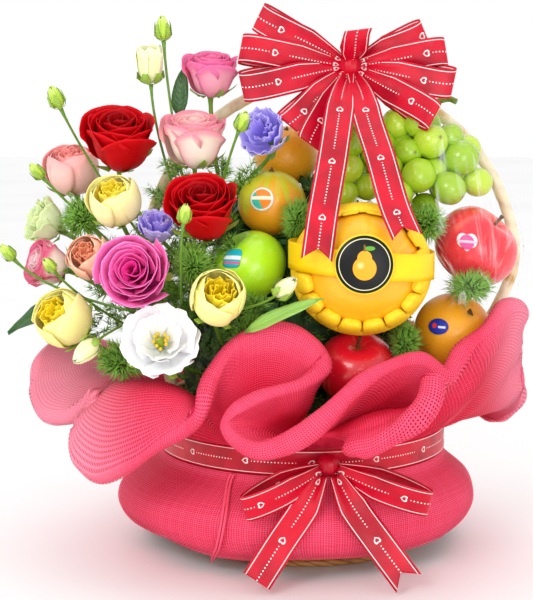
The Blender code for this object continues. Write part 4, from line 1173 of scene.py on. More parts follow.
@dataclass
class Bud(Flower):
    """A closed bud, wrapped in its sepals, on a thin stem.

    Attributes:
        calyx: height that the sepals reach, in units of the bud's radius.
        open: radius of the bud's mouth, in the same units.
    """

    variety: Variety = Variety.CUP
    finish: PetalFinish = LIME
    slot: str = "bud_green"
    calyx: float = 1.05
    open: float = 0.0

    def build(self, seed: int, greens: dict[str, Material]) -> None:
        """Makes the bud's two pieces."""
        petals = Whorl(
            count=5,
            first=((0.20, -1.20), (0.95, -1.10), (0.95 + self.open / 2, 0.60), (0.14 + self.open, 1.80)),
            last=((0.20, -1.20), (1.05, -1.10), (1.00 + self.open / 2, 0.70), (0.26 + self.open, 1.66)),
            span=(0.9, 0.9),
            turn=2 * math.pi / 5,
            twist=0.07,
            curl=0.02 + self.open / 4,
            ruffle=self.open / 8,
        )
        sepals = Whorl(
            count=5,
            first=((0.22, -1.34), (1.08, -1.25), (1.28, -0.20), (0.86, self.calyx + 0.1)),
            last=((0.22, -1.34), (1.08, -1.25), (1.28, -0.25), (0.90, self.calyx)),
            span=(0.40, 0.40),
            turn=2 * math.pi / 5,
            peak=0.5,
            twist=0.0,
            curl=0.06,
            ruffle=0.0,
            start=0.6,
        )
        head = self.whorl(petals, seed, 12, 9)
        dress(head.build(self.node + "_petals", self.finish.material(), 0.3), self.slot, self.node)
        stem = Surface.join([self.stem(-1.3, 1.1), self.whorl(sepals, seed, 10, 5, [1, 1, 0])])
        dress(stem.build(self.node + "_stem", greens["stem"]), "bud_green")


def mesh_points(node: str) -> Array:
    """A node's points, in millimetres."""
    mesh = bpy.data.objects[node].data
    found = np.zeros(len(mesh.vertices) * 3, np.float32)
    mesh.vertices.foreach_get("co", found)
    return found.reshape(-1, 3).astype(float) / MM


FLOWERS = [
    Flower("rose_red_upper", (-158, -30, 357), 30.0, (8, 62), Variety.SPIRAL, RED, "red_petal"),
    Flower("rose_salmon", (-202, 8, 328), 25.0, (-20, 72), Variety.CUP, SALMON, "salmon_petal"),
    Flower("rose_blush", (-93, -48, 358), 27.5, (0, 76), Variety.SPIRAL, BLUSH, "blush_petal"),
    Flower("rose_pink_top", (-80, -8, 412), 23.0, (5, 76), Variety.SPIRAL, ROSE_PINK, "pink_petal"),
    Flower("rose_cream", (-158, -72, 306), 23.0, (-20, 56), Variety.CUP, CREAM, "cream_petal"),
    Flower("rose_edged", (-219, -52, 251), 20.0, (-62, 20), Variety.SPIRAL, EDGED, "blush_petal"),
    Flower("rose_peach", (-178, -86, 260), 19.5, (-24, 36), Variety.CUP, PEACH, "peach_petal"),
    Flower("rose_hot_pink", (-138, -126, 253), 29.0, (-6, 16), Variety.SPIRAL, HOT_PINK, "hot_pink_petal"),
    Flower("rose_yellow_left", (-200, -100, 211), 25.0, (-42, 40), Variety.CUP, YELLOW, "yellow_petal"),
    Flower("rose_yellow_right", (-70, -148, 235), 23.5, (12, 38), Variety.CUP, YELLOW, "yellow_petal"),
    Flower("rose_red_centre", (-84, -98, 303), 28.5, (-4, 54), Variety.SPIRAL, RED, "red_petal"),
    Flower("lisianthus_white", (-117, -148, 201), 29.5, (2, 30), Variety.OPEN, WHITE, "white_petal"),
    Flower("lisianthus_pale", (-226, -8, 283), 20.0, (-70, 30), Variety.FRILL, PALE, "pale_green_petal"),
    Flower("lisianthus_purple_top", (-34, -60, 361), 20.0, (-25, 24), Variety.FRILL, LILAC, "purple_petal"),
    Flower("lisianthus_purple_low", (-123, -78, 285), 15.5, (10, 60), Variety.FRILL, LILAC, "purple_petal"),
]
BUDS = [
    Bud("bud_large", (-132, -6, 415), 11.0, (-8, 82), finish=PALE_BUD, calyx=-0.35, open=0.5),
    Bud("bud_tall", (-121, -4, 447), 7.0, (-15, 80)),
    Bud("bud_left_tall", (-210, -34, 389), 7.0, (-38, 58)),
    Bud("bud_left_mid", (-227, -34, 327), 5.5, (-62, 46)),
    Bud("bud_left_low", (-246, -82, 263), 5.5, (-60, 48), calyx=0.8),
    Bud("bud_purple", (-52, -88, 371), 6.0, (40, 58)),
    Bud("bud_red", (-97, -142, 300), 5.5, (25, 70)),
    Bud("bud_lower", (-176, -138, 191), 9.5, (-35, -25), finish=PALE_BUD, calyx=-0.2),
    Bud("bud_edged", (-208, -112, 256), 5.0, (-40, 45)),
    Bud("bud_right", (-18, -152, 243), 8.0, (48, 36), finish=PALE_BUD, calyx=0.4),
]


@dataclass
class Wrap:
    """The doubled pink mesh: a belly round the basket, a neck, and a ruffled collar.

    The collar's cloth goes out from the neck, round an edge roll and back. Its roll's
    stations are (azimuth where the cloth leaves the neck, middle of the roll, arch).
    """

    neck_radius: float = 123.5
    neck_high: float = 107.0
    roll_radius: float = 12.0
    flap_roll_radius: float = 16.0
    flap_seat: float = 0.44
    sag: float = 2.5
    cover: float = 0.52
    yarn_lift: float = 0.22
    slim: float = 0.62
    yarns_round: int = 930
    yarns_across: int = 118
    flap_yarns: tuple[int, int] = (60, 96)
    belly_yarns: tuple[int, int] = (440, 56)
    pleats: int = 58
    edge_share: float = 0.445
    cuts: tuple = (-5.0, 112.0, 190.0)
    lining_gap: float = 1.0
    belly: tuple = ((125.0, 83.0), (128.0, 76.0), (150.0, 59.0), (156.5, 42.0), (151.0, 27.0), (139.0, 17.0))
    seam_at: Pair = (-60.0, -78.0)
    belly_lean: float = -6.0
    back_lobes: int = 4
    back_stations: int = 17
    front: tuple = (
        (-103, (-216, -4, 170), 12), (-95, (-226, -36, 145), 28), (-87, (-214, -66, 129), 34),
        (-80, (-193, -88, 131), 30), (-73, (-172, -96, 146), 12), (-67, (-184, -112, 124), 34),
        (-60, (-184, -130, 104), 52), (-53, (-164, -148, 95), 60), (-46, (-137, -160, 109), 54),
        (-39, (-108, -166, 130), 36), (-32, (-84, -158, 146), 14), (-26, (-74, -140, 165), 2),
        (-21, (-55, -134, 191), 0), (-16, (-29, -132, 203), 0), (-12, (-4, -134, 194), 0),
        (-8, (11, -141, 176), 0), (-5, (-4, -154, 162), 2), (-2, (-36, -168, 156), 4),
        (1, (-60, -182, 140), 6), (4, (-36, -193, 124), 8), (7, (-2, -189, 134), 6),
        (11, (30, -174, 158), 2), (16, (58, -160, 176), 0), (22, (88, -148, 181), 0),
        (31, (108, -138, 166), 0), (42, (127, -118, 183), -4), (52, (149, -106, 200), -8),
        (61, (167, -84, 212), -8), (70, (180, -60, 202), -10), (78, (179, -46, 176), -9),
        (86, (186, -32, 147), -8), (94, (185, -16, 124), -2), (103, (172, 2, 110), 6),
        (112, (160, 24, 116), 14),
    )
    flap: tuple = (
        (31, (98, -166, 167), 0), (28, (92, -178, 156), 3), (24, (76, -188, 142), 6),
        (18, (54, -194, 132), 8), (13, (39, -191, 128), 6), (9, (34, -176, 128), 4), (6, (32, -158, 126), 2),
    )

    def back(self) -> list[tuple]:
        """Stations of the roll at the back: four even lobes, a cosine in reach and height."""
        first, last = self.front[-1][0], self.front[0][0] + 360
        share = np.arange(1, self.back_stations + 1) / (self.back_stations + 1)
        azimuth = first + (last - first) * share
        wave = 2 * math.pi * self.back_lobes * share
        spot = direction(azimuth + 5.0 * np.sin(wave), 0 * azimuth) * (178 - 15 * np.cos(wave))[:, None]
        height, arch = 148 + 20 * np.cos(wave), 16 - 8 * np.cos(wave)
        return [(a, (p[0], p[1], h), c) for a, p, h, c in zip(azimuth, spot, height, arch)]

    def spine(self, start: Array, roll: Array, arch: Array, out: Array, t: Array) -> tuple[Array, Array]:
        """Points and directions of the bent line from the start to the roll's middle.

        The line is (1-t)^2 start + 2t(1-t) knee + t^2 roll, and the knee stands over the
        middle of the two by twice the arch, and out by 6 mm and the sag.
        """
        push = 6.0 + self.sag * np.maximum(-arch, 0.0)
        knee = (start + roll) / 2 + UP * arch[..., None] * 2 + out * push[..., None]
        line = (1 - t) ** 2 * start + 2 * t * (1 - t) * knee + t**2 * roll
        return line, unit(2 * (1 - t) * (knee - start) + 2 * t * (roll - knee))

    def neck(self, azimuth: Array) -> tuple[Array, Array]:
        """Points at the top of the neck, and the directions out of it."""
        out = direction(azimuth, 0 * azimuth)
        return out * self.neck_radius + UP * self.neck_high, out

    def table(self, count: int) -> Array:
        """Stations all round, read evenly from a smooth closed curve: (count, 5)."""
        raw = [(a, *p, arch) for a, p, arch in list(self.front) + self.back()]
        ahead = [(r[0] + 360, *r[1:]) for r in raw[:3]]
        behind = [(r[0] - 360, *r[1:]) for r in raw[-3:]]
        padded = np.array(behind + raw + ahead, float)
        dense = smooth_line(padded, (len(padded) - 1) * 40 + 1)
        inside = dense[3 * 40 : (3 + len(raw)) * 40 + 1]
        length = run_length(inside[:, 1:4])
        at = np.linspace(0, length[-1], count, endpoint=False)
        return np.stack([np.interp(at, length, inside[:, k]) for k in range(5)], 1)

    def skins(self, table: Array, start: Array, roll_radius: float, across: int, ring: bool) -> Array:
        """Points of the cloth from its start, over the edge roll and back: (count, across, 3).

        Each skin stands off the bent line by a half thickness that grows from the start
        to the nose's radius, and the nose between them is half a circle. The nose is
        slimmer than the roll, and reaches as far out.
        """
        out = direction(table[:, 0], 0 * table[:, 0])
        side_points = int(across * self.edge_share)
        nose_radius = roll_radius * self.slim
        _, end = self.spine(start, table[:, 1:4], table[:, 4], out, np.array(1.0))
        roll = table[:, 1:4] + end * (roll_radius - nose_radius)
        t = np.linspace(0, 1, side_points)[:, None, None]
        line, way = self.spine(start, roll, table[:, 4], out, t)
        if ring:
            side = np.roll(line, -1, 1) - np.roll(line, 1, 1)
            side[0] = np.cross(UP, out)
        else:
            side = np.gradient(line, axis=1)
            side[0] = side[1]
        normal = unit(np.cross(way, unit(side)))
        thick = np.interp(t[:, 0, 0], [0, 0.4, 0.75, 1], [1.6, 2.2, 4.0, nose_radius])[:, None, None]
        turn = np.linspace(math.pi / 2, -math.pi / 2, across - 2 * side_points + 2)[1:-1, None, None]
        nose = line[-1] + (way[-1] * np.cos(turn) + normal[-1] * np.sin(turn)) * nose_radius
        skins = np.concatenate([line + normal * thick, nose, (line - normal * thick)[::-1]])
        return skins.transpose(1, 0, 2)

    def gathers(self, points: Array, ring: bool) -> Array:
        """Cloth with its pleats: waves along the roll, finest and deepest near the neck."""
        count, across = points.shape[:2]
        along = np.arange(count)[:, None] / count
        depth = np.abs(np.linspace(-1, 1, across))[None]
        normal = surface_normals(points, ring)
        wander = 2.0 * np.sin(2 * math.pi * 5 * along)
        pleat = np.sin(2 * math.pi * self.pleats * along + wander) * depth**5
        soft = ripple(points, 60.0, 4) * 2.0 * (1 - depth**2) + ripple(points, 24.0, 5) * 0.3
        soften = ease(1 - depth, 0.0, 0.12)
        return points + normal * ((pleat + soft) * soften)[..., None]

    def tint(self, points: Array, ring: bool) -> Array:
        """Painted values of the cloth: nearness to its edge, which the finish paints as light at the edge and
        shade in the folds, and the share of painted backlight over the outer lobes.
        """
        across = np.linspace(-1, 1, points.shape[1])[None] + 0 * points[..., 0]
        # The belly, which is no ring, takes the edge's painted light all over.
        edge = ease(1 - np.abs(across), 0.35, 0.95) if ring else 1.0 + 0 * across
        x, z = points[..., 0], points[..., 2]
        # Painted backlight over the outer lobes at the left and at the right.
        left = ease(-x, 125.0, 205.0) * ease(z, 70.0, 95.0)
        right = ease(x, 140.0, 190.0) * ease(z, 90.0, 125.0)
        return np.stack([edge, 0.8 * left + 0.75 * right, 0 * x], -1)

    def threads(self, points: Array, paint: Array) -> Surface:
        """Flat woven yarns along both ways of a grid of points.

        At each crossing one yarn lies above the cloth's middle by the yarn's lift and the
        other below it, turn and turn about, and a yarn's width is cover times their spacing.
        """
        normal = surface_normals(points, False)
        i, j = np.indices(points.shape[:2])
        over = ((-1.0) ** (i + j) * self.yarn_lift)[..., None] * normal
        beside_i = np.gradient(points, axis=0) * self.cover / 2
        beside_j = np.gradient(points, axis=1) * self.cover / 2
        warp = np.stack([points + over - beside_i, points + over + beside_i], 2)
        weft = np.stack([points - over - beside_j, points - over + beside_j], 2).transpose(1, 0, 2, 3)
        draw = np.random.default_rng(17)
        shade = np.repeat(paint[:, :, None], 2, 2)
        cross = shade.transpose(1, 0, 2, 3).copy()
        shade[..., 2] = draw.random((len(shade), 1, 1))
        cross[..., 2] = draw.random((len(cross), 1, 1))
        return Surface.join([Surface.grid(warp, paint=shade), Surface.grid(weft, paint=cross)])

    def lining(self, points: Array, paint: Array, ring: bool) -> Surface:
        """The inner layer of the doubled cloth, at half the yarns' fineness."""
        normal = surface_normals(points, ring)
        outward = points - points[:, ::-1] if ring else points - points.mean((0, 1))
        sign = np.sign((normal * outward).sum())
        inner = (points - normal * sign * self.lining_gap)[::2, ::2]
        return Surface.grid(inner, paint=paint[::2, ::2])

    def seam(self) -> Surface:
        """The narrow folded seam down the belly, with its tip below the hem.

        It runs straight from one place across to the other as it goes down.
        """
        profile = smooth_line(np.array(self.belly + ((126.0, 5.0),)), 40)
        share = np.linspace(0, 1, 40)
        offset = np.array([-2.6, -1.8, -0.9, -0.1, 0.1, 0.9, 1.8, 2.6])[None]
        lift = np.array([0.9, 2.2, 2.2, 0.9, 0.9, 2.2, 2.2, 0.9])[None] + 1.2
        taper = (1 - 0.7 * ease(share, 0.85, 1.0))[:, None]
        reach = profile[:, :1] + lift
        lean = self.belly_lean * (reach - self.neck_radius) / (157 - self.neck_radius)
        across = self.seam_at[0] + (self.seam_at[1] - self.seam_at[0]) * share[:, None]
        turn = np.arcsin((across - lean) / reach) + offset * taper / reach
        points = spread(reach * np.sin(turn) + lean, -reach * np.cos(turn), profile[:, 1:] + 0.3)
        # Paint: mostly the edge's painted light, and a little painted backlight.
        return Surface.grid(points, paint=np.array([0.9, 0.1, 0.0]))

    def belly_points(self, count: int, across: int) -> Array:
        """The belly: its profile turned about the axis, with soft folds and a wavy hem."""
        profile = smooth_line(np.array(self.belly), 200)
        length = run_length(profile)
        at = np.linspace(0, length[-1], across)
        radius, height = (np.interp(at, length, profile[:, k])[None] for k in (0, 1))
        azimuth = np.linspace(0, 360, count)[:, None]
        share = (at / length[-1])[None]
        mid = np.sin(math.pi * share)
        turn = np.radians(azimuth)
        fold = 1.7 * np.sin(turn * 17 + 2 * np.sin(turn * 3)) * mid * (1 - share)
        dent = 2.2 * np.sin(turn * 5 + 1.0) * mid + 3.0 * np.sin(turn * 8 + 0.6) * share**2
        reach = radius + fold + dent
        lean = self.belly_lean * (radius - self.neck_radius) / (157 - self.neck_radius)
        x = reach * np.sin(turn) + lean
        lift = height + (1.8 * np.sin(turn * 7 + 1.0) + 1.0 * np.sin(turn * 3)) * share**3
        return spread(x, -reach * np.cos(turn), np.maximum(lift, 4.0))

    def lay(self, name: str, points: Array, ring: bool) -> None:
        """Makes one sheet of doubled cloth: its yarns, and the plain layer inside them, which is painted dark
        as the shade between the two layers.

        Args:
            name: the sheet's name.
            points: grid of the cloth's points, one for each crossing of the yarns.
            ring: whether its columns run over an edge and back.
        """
        yarn = MeshFinish("mesh_yarn", "#F42C50", "#FF587C", "#FFA4BA")
        # The inner layer is the same yarn, painted much darker: painted shade between the layers, with
        # painted light and backlight of its own.
        inner = MeshFinish("mesh_inner_layer_painted_shade", "#96062A", "#C41C46", "#F47C98")
        paint = self.tint(points, ring)
        for surface, finish, part in (
            (self.threads(points, paint), yarn, "yarns"),
            (self.lining(points, paint, ring), inner, "inner"),
        ):
            piece = dress(surface.build(f"{name}_{part}", finish.material()), "pink_mesh", "mesh_wrap")

    def build(self) -> None:
        """Makes the collar in four lengths, the flap, the belly and its seam."""
        table = self.table(self.yarns_round)
        start, _ = self.neck(table[:, 0])
        cloth = self.skins(table, start, self.roll_radius, self.yarns_across, True)
        cloth = self.gathers(cloth, True)
        cuts = [0] + [int(np.argmin(np.abs(table[:, 0] - cut))) for cut in self.cuts]
        for name, low, high in zip(("left", "right", "back_right"), cuts, cuts[1:]):
            self.lay(f"collar_{name}", cloth[low : high + 1], True)
        self.lay("collar_back_left", np.vstack([cloth[cuts[-1] :], cloth[:1]]), True)
        seat = np.array([(a, *p, arch) for a, p, arch in self.front], float)
        stations = np.array([(a, *p, arch) for a, p, arch in self.flap], float)
        flap_table = smooth_line(stations, self.flap_yarns[0])
        roll = np.stack([np.interp(flap_table[:, 0], seat[:, 0], seat[:, k]) for k in (1, 2, 3)], 1)
        arch = np.interp(flap_table[:, 0], seat[:, 0], seat[:, 4])
        neck, out = self.neck(flap_table[:, 0])
        flap_start, _ = self.spine(neck, roll, arch, out, np.array(self.flap_seat))
        flap = self.skins(flap_table, flap_start, self.flap_roll_radius, self.flap_yarns[1], False)
        flap = self.gathers(flap, False)
        self.lay("collar_flap", flap, True)
        self.lay("belly", self.belly_points(*self.belly_yarns), False)
        # The seam's finish carries the same painted shade, light and backlight colours.
        seam = MeshFinish("mesh_seam", "#E8284E", "#FA4C70", "#FFA4BA").material()
        dress(self.seam().build("belly_seam", seam, 0.5), "pink_mesh", "mesh_wrap")


def surface_normals(points: Array, ring: bool) -> Array:
    """Unit normals of a grid of points, from its two gradients.

    Args:
        points: (rows, columns, 3) places.
        ring: whether the last row meets the first.

    Returns:
        (rows, columns, 3) normals.
    """
    if ring:
        along = np.roll(points, -1, 0) - np.roll(points, 1, 0)
    else:
        along = np.gradient(points, axis=0)
    return unit(np.cross(np.gradient(points, axis=1), along))


@dataclass
class Ribbons:
    """The printed satin ribbon: a band round the neck and two tied bows."""

    width: float = 25.0
    top_knot: Triple = (40.0, -5.0, 416.0)
    front_knot: Triple = (18.0, -138.0, 97.0)
    neck_radius: float = 124.95
    band_low: float = 84.0
    band_high: float = 106.0
    top_loops: tuple = (
        ((-39, -22, 458), 20, 12), ((-54, -30, 431), 22, -8), ((-53, -40, 399), 20, 6),
        ((-14, -52, 368), 15, 16), ((4, -62, 352), 13, -12), ((45, -30, 446), 14, 25),
        ((103, -18, 444), 18, -10), ((120, -28, 428), 22, 8), ((125, -42, 402), 20, -6),
        ((108, -54, 374), 13, 10),
    )
    top_tails: tuple = (
        ((38, -12, 410), (32, -46, 396), (27, -74, 372), (21, -102, 340), (13, -134, 302), (7, -160, 266)),
        ((42, -12, 410), (47, -46, 396), (52, -74, 372), (60, -104, 344), (69, -136, 308), (78, -160, 284)),
    )
    front_loops: tuple = (((-50, -168, 68), 26, -24), ((98, -166, 72), 26, 24))
    front_tails: tuple = (
        ((12, -146, 90), (-2, -158, 66), (-20, -170, 42), (-40, -178, 12)),
        ((24, -146, 90), (38, -158, 66), (58, -170, 40), (81, -178, 10)),
    )
    notch: float = 11.0
    skew: float = 5.0
    rows: int = 56
    columns: int = 13

    def strip(self, centres: Array, across: Array, width: Array, crimp: Array, notch: float = 0.0) -> Surface:
        """A ribbon along a line, with uv in millimetres along and across.

        A point at v from -1/2 to 1/2 across is c + across width v + normal crimp cos(3 pi v).

        Args:
            centres: (n, 3) points of the ribbon's middle.
            across: (n, 3) directions of its width.
            width: its width at each point.
            crimp: depth of its pleats at each point.
            notch: depth of the swallowtail at its end.

        Returns:
            The ribbon's surface.
        """
        ahead = unit(np.gradient(centres, axis=0))
        normal = unit(np.cross(across, ahead))
        v = np.linspace(-0.5, 0.5, self.columns)[None, :, None]
        points = (
            centres[:, None]
            + across[:, None] * width[:, None, None] * v
            + normal[:, None] * crimp[:, None, None] * np.cos(3 * math.pi * v)
        )
        length = run_length(centres)
        pull = np.zeros_like(v)
        if notch:
            pull = (0.5 - np.abs(v)) * 2 * notch
            fade = ease(np.linspace(0, 1, len(centres)), 0.75, 1.0)[:, None, None]
            points = points - ahead[:, None] * pull * fade
            pull = pull * fade
        along = np.broadcast_to(length[:, None], points.shape[:2]) - pull[..., 0]
        uv = np.stack([along, np.broadcast_to((v[..., 0] + 0.5) * self.width, along.shape)], -1)
        return Surface.grid(points, uv=uv)

    def loop(self, knot: Triple, tip: Triple, thick: float, roll: float) -> Surface:
        """One bow loop, out from the knot to its tip and back behind itself.

        With a from 0.62 to 2 pi - 0.62, it is out = (1 - cos a)/2 of the length along,
        sin a out^0.6 thick/2 in depth, and skewed across, so that its inside shows.
        """
        start, end = np.array(knot, float), np.array(tip, float)
        along = unit(end - start)
        depth = unit(np.array([0.0, -1.0, 0.0]) + along[1] * along)
        across = np.cross(along, depth)
        turn = math.radians(roll)
        depth, across = (
            depth * math.cos(turn) + across * math.sin(turn),
            across * math.cos(turn) - depth * math.sin(turn),
        )
        a = np.linspace(0.62, 2 * math.pi - 0.62, self.rows)
        out = (1 - np.cos(a)) / 2
        away = np.sin(a) * out**0.6 * thick / 2
        skew = -self.skew * np.sin(a) * out**2 * (1 if roll > 0 else -1)
        centres = start + along * (out * np.linalg.norm(end - start))[:, None]
        centres = centres + depth * away[:, None] + across * skew[:, None]
        width = self.width * np.clip(0.28 + 1.5 * out, 0.0, 1.0)
        crimp = 2.0 * (1 - out) ** 2
        return self.strip(centres, np.tile(across, (self.rows, 1)), width, crimp)

    def tail(self, line: tuple, notch: float) -> Surface:
        """One hanging end, cut to a swallowtail, or straight where the notch is 0."""
        centres = smooth_line(np.array(line), self.rows)
        ahead = unit(np.gradient(centres, axis=0))
        level = np.array([1.0, 0.0, 0.0])
        across = unit(level - ahead * (ahead @ level)[:, None])
        share = np.linspace(0, 1, self.rows)
        width = self.width * np.clip(0.45 + 1.75 * share, 0.0, 1.0)
        crimp = 1.6 * (1 - ease(share, 0.0, 0.45)) + 0.5 * np.sin(share * 7.0) * share
        return self.strip(centres, across, width, crimp, notch)

    def knot(self, centre: Triple, half: Triple) -> Surface:
        """The knot: a plump band with seven pleats across it."""
        level, turn = globe(22, 48)
        pleat = 1 + 0.05 * np.cos(7 * np.cos(level) * 2.2)
        local = sphere(level, turn)[..., [2, 0, 1]] * spread(1.0, -pleat, pleat)
        surface = Surface.ball(np.array(centre, float) + local * np.array(half, float))
        surface.uv = np.column_stack([surface.uv[:, 0] * 0 + 50.0, 6 + surface.uv[:, 1] * 13])
        return surface

    def tie(self) -> Surface:
        """The turn of ribbon that ties the upper bow round the cane."""
        turns = np.linspace(0, 2 * math.pi, 40)
        cx, cz = HOOP_CENTRE
        lean = math.asin((self.top_knot[0] - cx) / HOOP_RADIUS)
        outward = np.array([math.sin(lean), 0.0, math.cos(lean)])
        along = np.array([math.cos(lean), 0.0, -math.sin(lean)])
        out = np.cos(turns)[:, None] * outward + np.sin(turns)[:, None] * np.array([0.0, 1.0, 0.0])
        reach = out * 7.0
        reach[:, 1] *= np.where(reach[:, 1] < 0, 15.0 / 7.0, 1.0)
        centre = np.array([cx, HOOP_DEPTH, cz]) + outward * HOOP_RADIUS
        across = np.tile(along, (len(turns), 1))
        return self.strip(centre + reach, across, np.full(len(turns), 14.0), np.full(len(turns), 0.5))

    def band(self) -> Surface:
        """The ribbon round the wrap's neck."""
        turns = np.radians(np.linspace(-180, 180, 240))
        out = np.stack([np.sin(turns), -np.cos(turns), np.zeros_like(turns)], 1)
        centres = out * self.neck_radius + UP * (self.band_low + self.band_high) / 2
        width = np.full(len(turns), self.band_high - self.band_low)
        return self.strip(centres, np.tile(UP, (len(turns), 1)), width, np.full(len(turns), 0.12))

    def declare(self, name: str, parts: list[Surface], finish: Material, node: str) -> None:
        surface = Surface.join(parts)
        piece = dress(surface.build(name, finish, 0.35), "red_ribbon", node)

    def build(self) -> None:
        """Makes the band and the two bows."""
        satin = SatinFinish().material()
        self.declare("neck_ribbon", [self.band()], satin, "ribbon_band")
        loops = [self.loop(self.top_knot, *loop) for loop in self.top_loops]
        self.declare("top_bow_loops", loops + [self.tie()], satin, "bow_top")
        tails = [self.tail(line, self.notch) for line in self.top_tails]
        self.declare("top_bow_tails", tails, satin, "bow_top")
        loops = [self.loop(self.front_knot, *loop) for loop in self.front_loops]
        self.declare("front_bow_loops", loops, satin, "bow_front")
        tails = [self.tail(line, cut) for line, cut in zip(self.front_tails, (0.0, self.notch))]
        self.declare("front_bow_tails", tails, satin, "bow_front")
        knots = [self.knot(self.top_knot, (11, 12, 12)), self.knot(self.front_knot, (9, 8, 9))]
        dress(Surface.join(knots).build("bow_knots", satin), "red_ribbon", "bow_top", "bow_front")


@dataclass
class Holder:
    """The wicker basket and its cane handle."""

    foot_radius: float = 104.0
    rim_radius: float = 117.0
    rim_height: float = 127.0
    wall_top: float = 122.0
    stakes: int = 60
    strand: float = 5.6
    cane_radius: float = 5.5

    def wall(self) -> Surface:
        """Woven wall and flat floor.

        Over the plain wall r(z), a strand in row k stands out by 1.7 cos(n a / 2 + k pi)
        times its round section, and a stake by 0.9 |cos(n a / 2)|; the larger one shows.
        """
        turn = full_turn(self.stakes * 6)[None]
        height = np.linspace(1.0, self.wall_top, 110)[:, None]
        row, within = np.divmod(height / self.strand, 1.0)
        round_top = np.sqrt(np.maximum(1 - (2 * within - 1) ** 2, 0.0))
        weft = 1.7 * np.cos(self.stakes / 2 * turn + math.pi * row) * round_top + 0.6 * round_top
        stake = 0.9 * np.abs(np.cos(self.stakes / 2 * turn)) ** 0.7
        plain = np.interp(height, [0, 12, 104, self.wall_top], [101, 102.5, 110.0, 112.5])
        reach = plain + np.maximum(weft, stake) - 1.2
        outer = spread(reach * np.cos(turn), reach * np.sin(turn), height)
        inside = np.array([[107.0, self.wall_top], [100.0, 14.0], [60.0, 13.0], [0.0, 13.0]])
        inner = spread(inside[:, :1] * np.cos(turn), inside[:, :1] * np.sin(turn), inside[:, 1:])
        floor = np.stack([0 * turn, 0 * turn, 0 * turn + 1.0], -1)
        paint = np.zeros(np.concatenate([floor, outer, inner]).shape)
        paint[1 : 1 + len(outer), :, 0] = (row * 0.37 + np.floor(turn * 3) * 0.21) % 1.0
        # Painted shade in the sunk places between the strands and the stakes.
        paint[1 : 1 + len(outer), :, 1] = ease(-np.maximum(weft, stake), -0.5, 0.3)
        return Surface.ball(np.concatenate([floor, outer, inner]), paint)

    def rope(self, radius: float, height: float, thick: float, strands: int, turns: int) -> Surface:
        """A ring of laid strands: a torus whose section has lobes that wind round it."""
        a = full_turn(360)[:, None]
        b = full_turn(24)[None]
        lobe = np.abs(np.cos(strands / 2 * (b + turns / strands * a)))
        size = thick * (0.82 + 0.18 * lobe)
        reach = radius + size * np.cos(b)
        points = spread(reach * np.cos(a), reach * np.sin(a), height + size * np.sin(b))
        # Painted shade in the grooves between the strands.
        paint = spread(0.4 + 0 * a * b, ease(0.35 - lobe, 0.0, 0.35), 0.0)
        return Surface.grid(points, closed=True, ring=True, paint=paint).outward()

    def hoop(self) -> Array:
        """Points of the handle's line, from the rim at the left over the top to the right."""
        foot = self.rim_height + 4.5 + self.cane_radius * 0.4
        cx, cz = HOOP_CENTRE
        arc = [
            (cx - HOOP_RADIUS * math.cos(a), HOOP_DEPTH, cz + HOOP_RADIUS * math.sin(a))
            for a in np.radians(np.linspace(0, 180, 9))
        ]
        left = [(-self.rim_radius, HOOP_DEPTH, foot), (-126.0, HOOP_DEPTH, 172.0)]
        right = [(156.0, HOOP_DEPTH, 176.0), (self.rim_radius, HOOP_DEPTH, foot)]
        return smooth_line(np.array(left + arc + right), 300)

    def handle(self) -> Surface:
        """The cane, with a knuckle every 70 mm and the crease of a split strip wound round it."""
        line = self.hoop()
        length = run_length(line)
        ahead = unit(np.gradient(line, axis=0))
        depth = np.array([0.0, 1.0, 0.0])
        across = np.cross(ahead, depth)
        turn = full_turn(24)[None]
        knuckle = 0.35 * np.exp(-(((length + 35) % 70 - 35) / 2.2) ** 2)[:, None]
        wind = (length[:, None] / 17.0 + turn / (2 * math.pi)) % 1.0
        crease = np.exp(-((np.minimum(wind, 1 - wind) / 0.14) ** 2))
        size = self.cane_radius - 0.35 + knuckle - 0.3 * crease
        around = np.cos(turn)[..., None] * depth + np.sin(turn)[..., None] * across[:, None]
        rings = line[:, None] + around * size[..., None]
        patch = ease(np.sin(length / 23.0) + np.sin(length / 9.0 + 1.0), 0.5, 1.4)[:, None] + 0 * turn
        # A little painted shade along the crease of the wound strip.
        paint = np.stack([patch, crease * 0.16, 0 * crease], -1)
        ends = [np.broadcast_to(rings[k].mean(0), rings[k].shape)[None] for k in (0, -1)]
        paint = np.concatenate([paint[:1], paint, paint[-1:]])
        return Surface.ball(np.concatenate([ends[0], rings, ends[1]]), paint)

    def build(self) -> None:
        """Makes the wall, the rim and foot ropes, and the handle."""
        wicker = CaneFinish("wicker", "#BC7E3E", "#84501F", 0.55).material()
        cane = CaneFinish("peeled_cane", "#F4E8C8", "#D2A034", 0.45).material()
        ropes = [
            self.rope(self.rim_radius, self.rim_height, 4.5, 3, 40),
            self.rope(self.foot_radius - 3.4, 3.5, 3.2, 3, 44),
            self.rope(self.foot_radius - 3.0, 9.4, 3.0, 3, -44),
        ]
        dress(self.wall().build("basket_wicker", wicker), "wicker", "basket")
        dress(Surface.join(ropes).build("basket_borders", wicker), "wicker", "basket")
        dress(self.handle().build("cane_handle", cane), "cane", "handle")


class Kind(Enum):
    """The shapes of fruit."""

    APPLE = "apple"
    ORANGE = "orange"
    MANGO = "mango"
    PEAR = "pear"


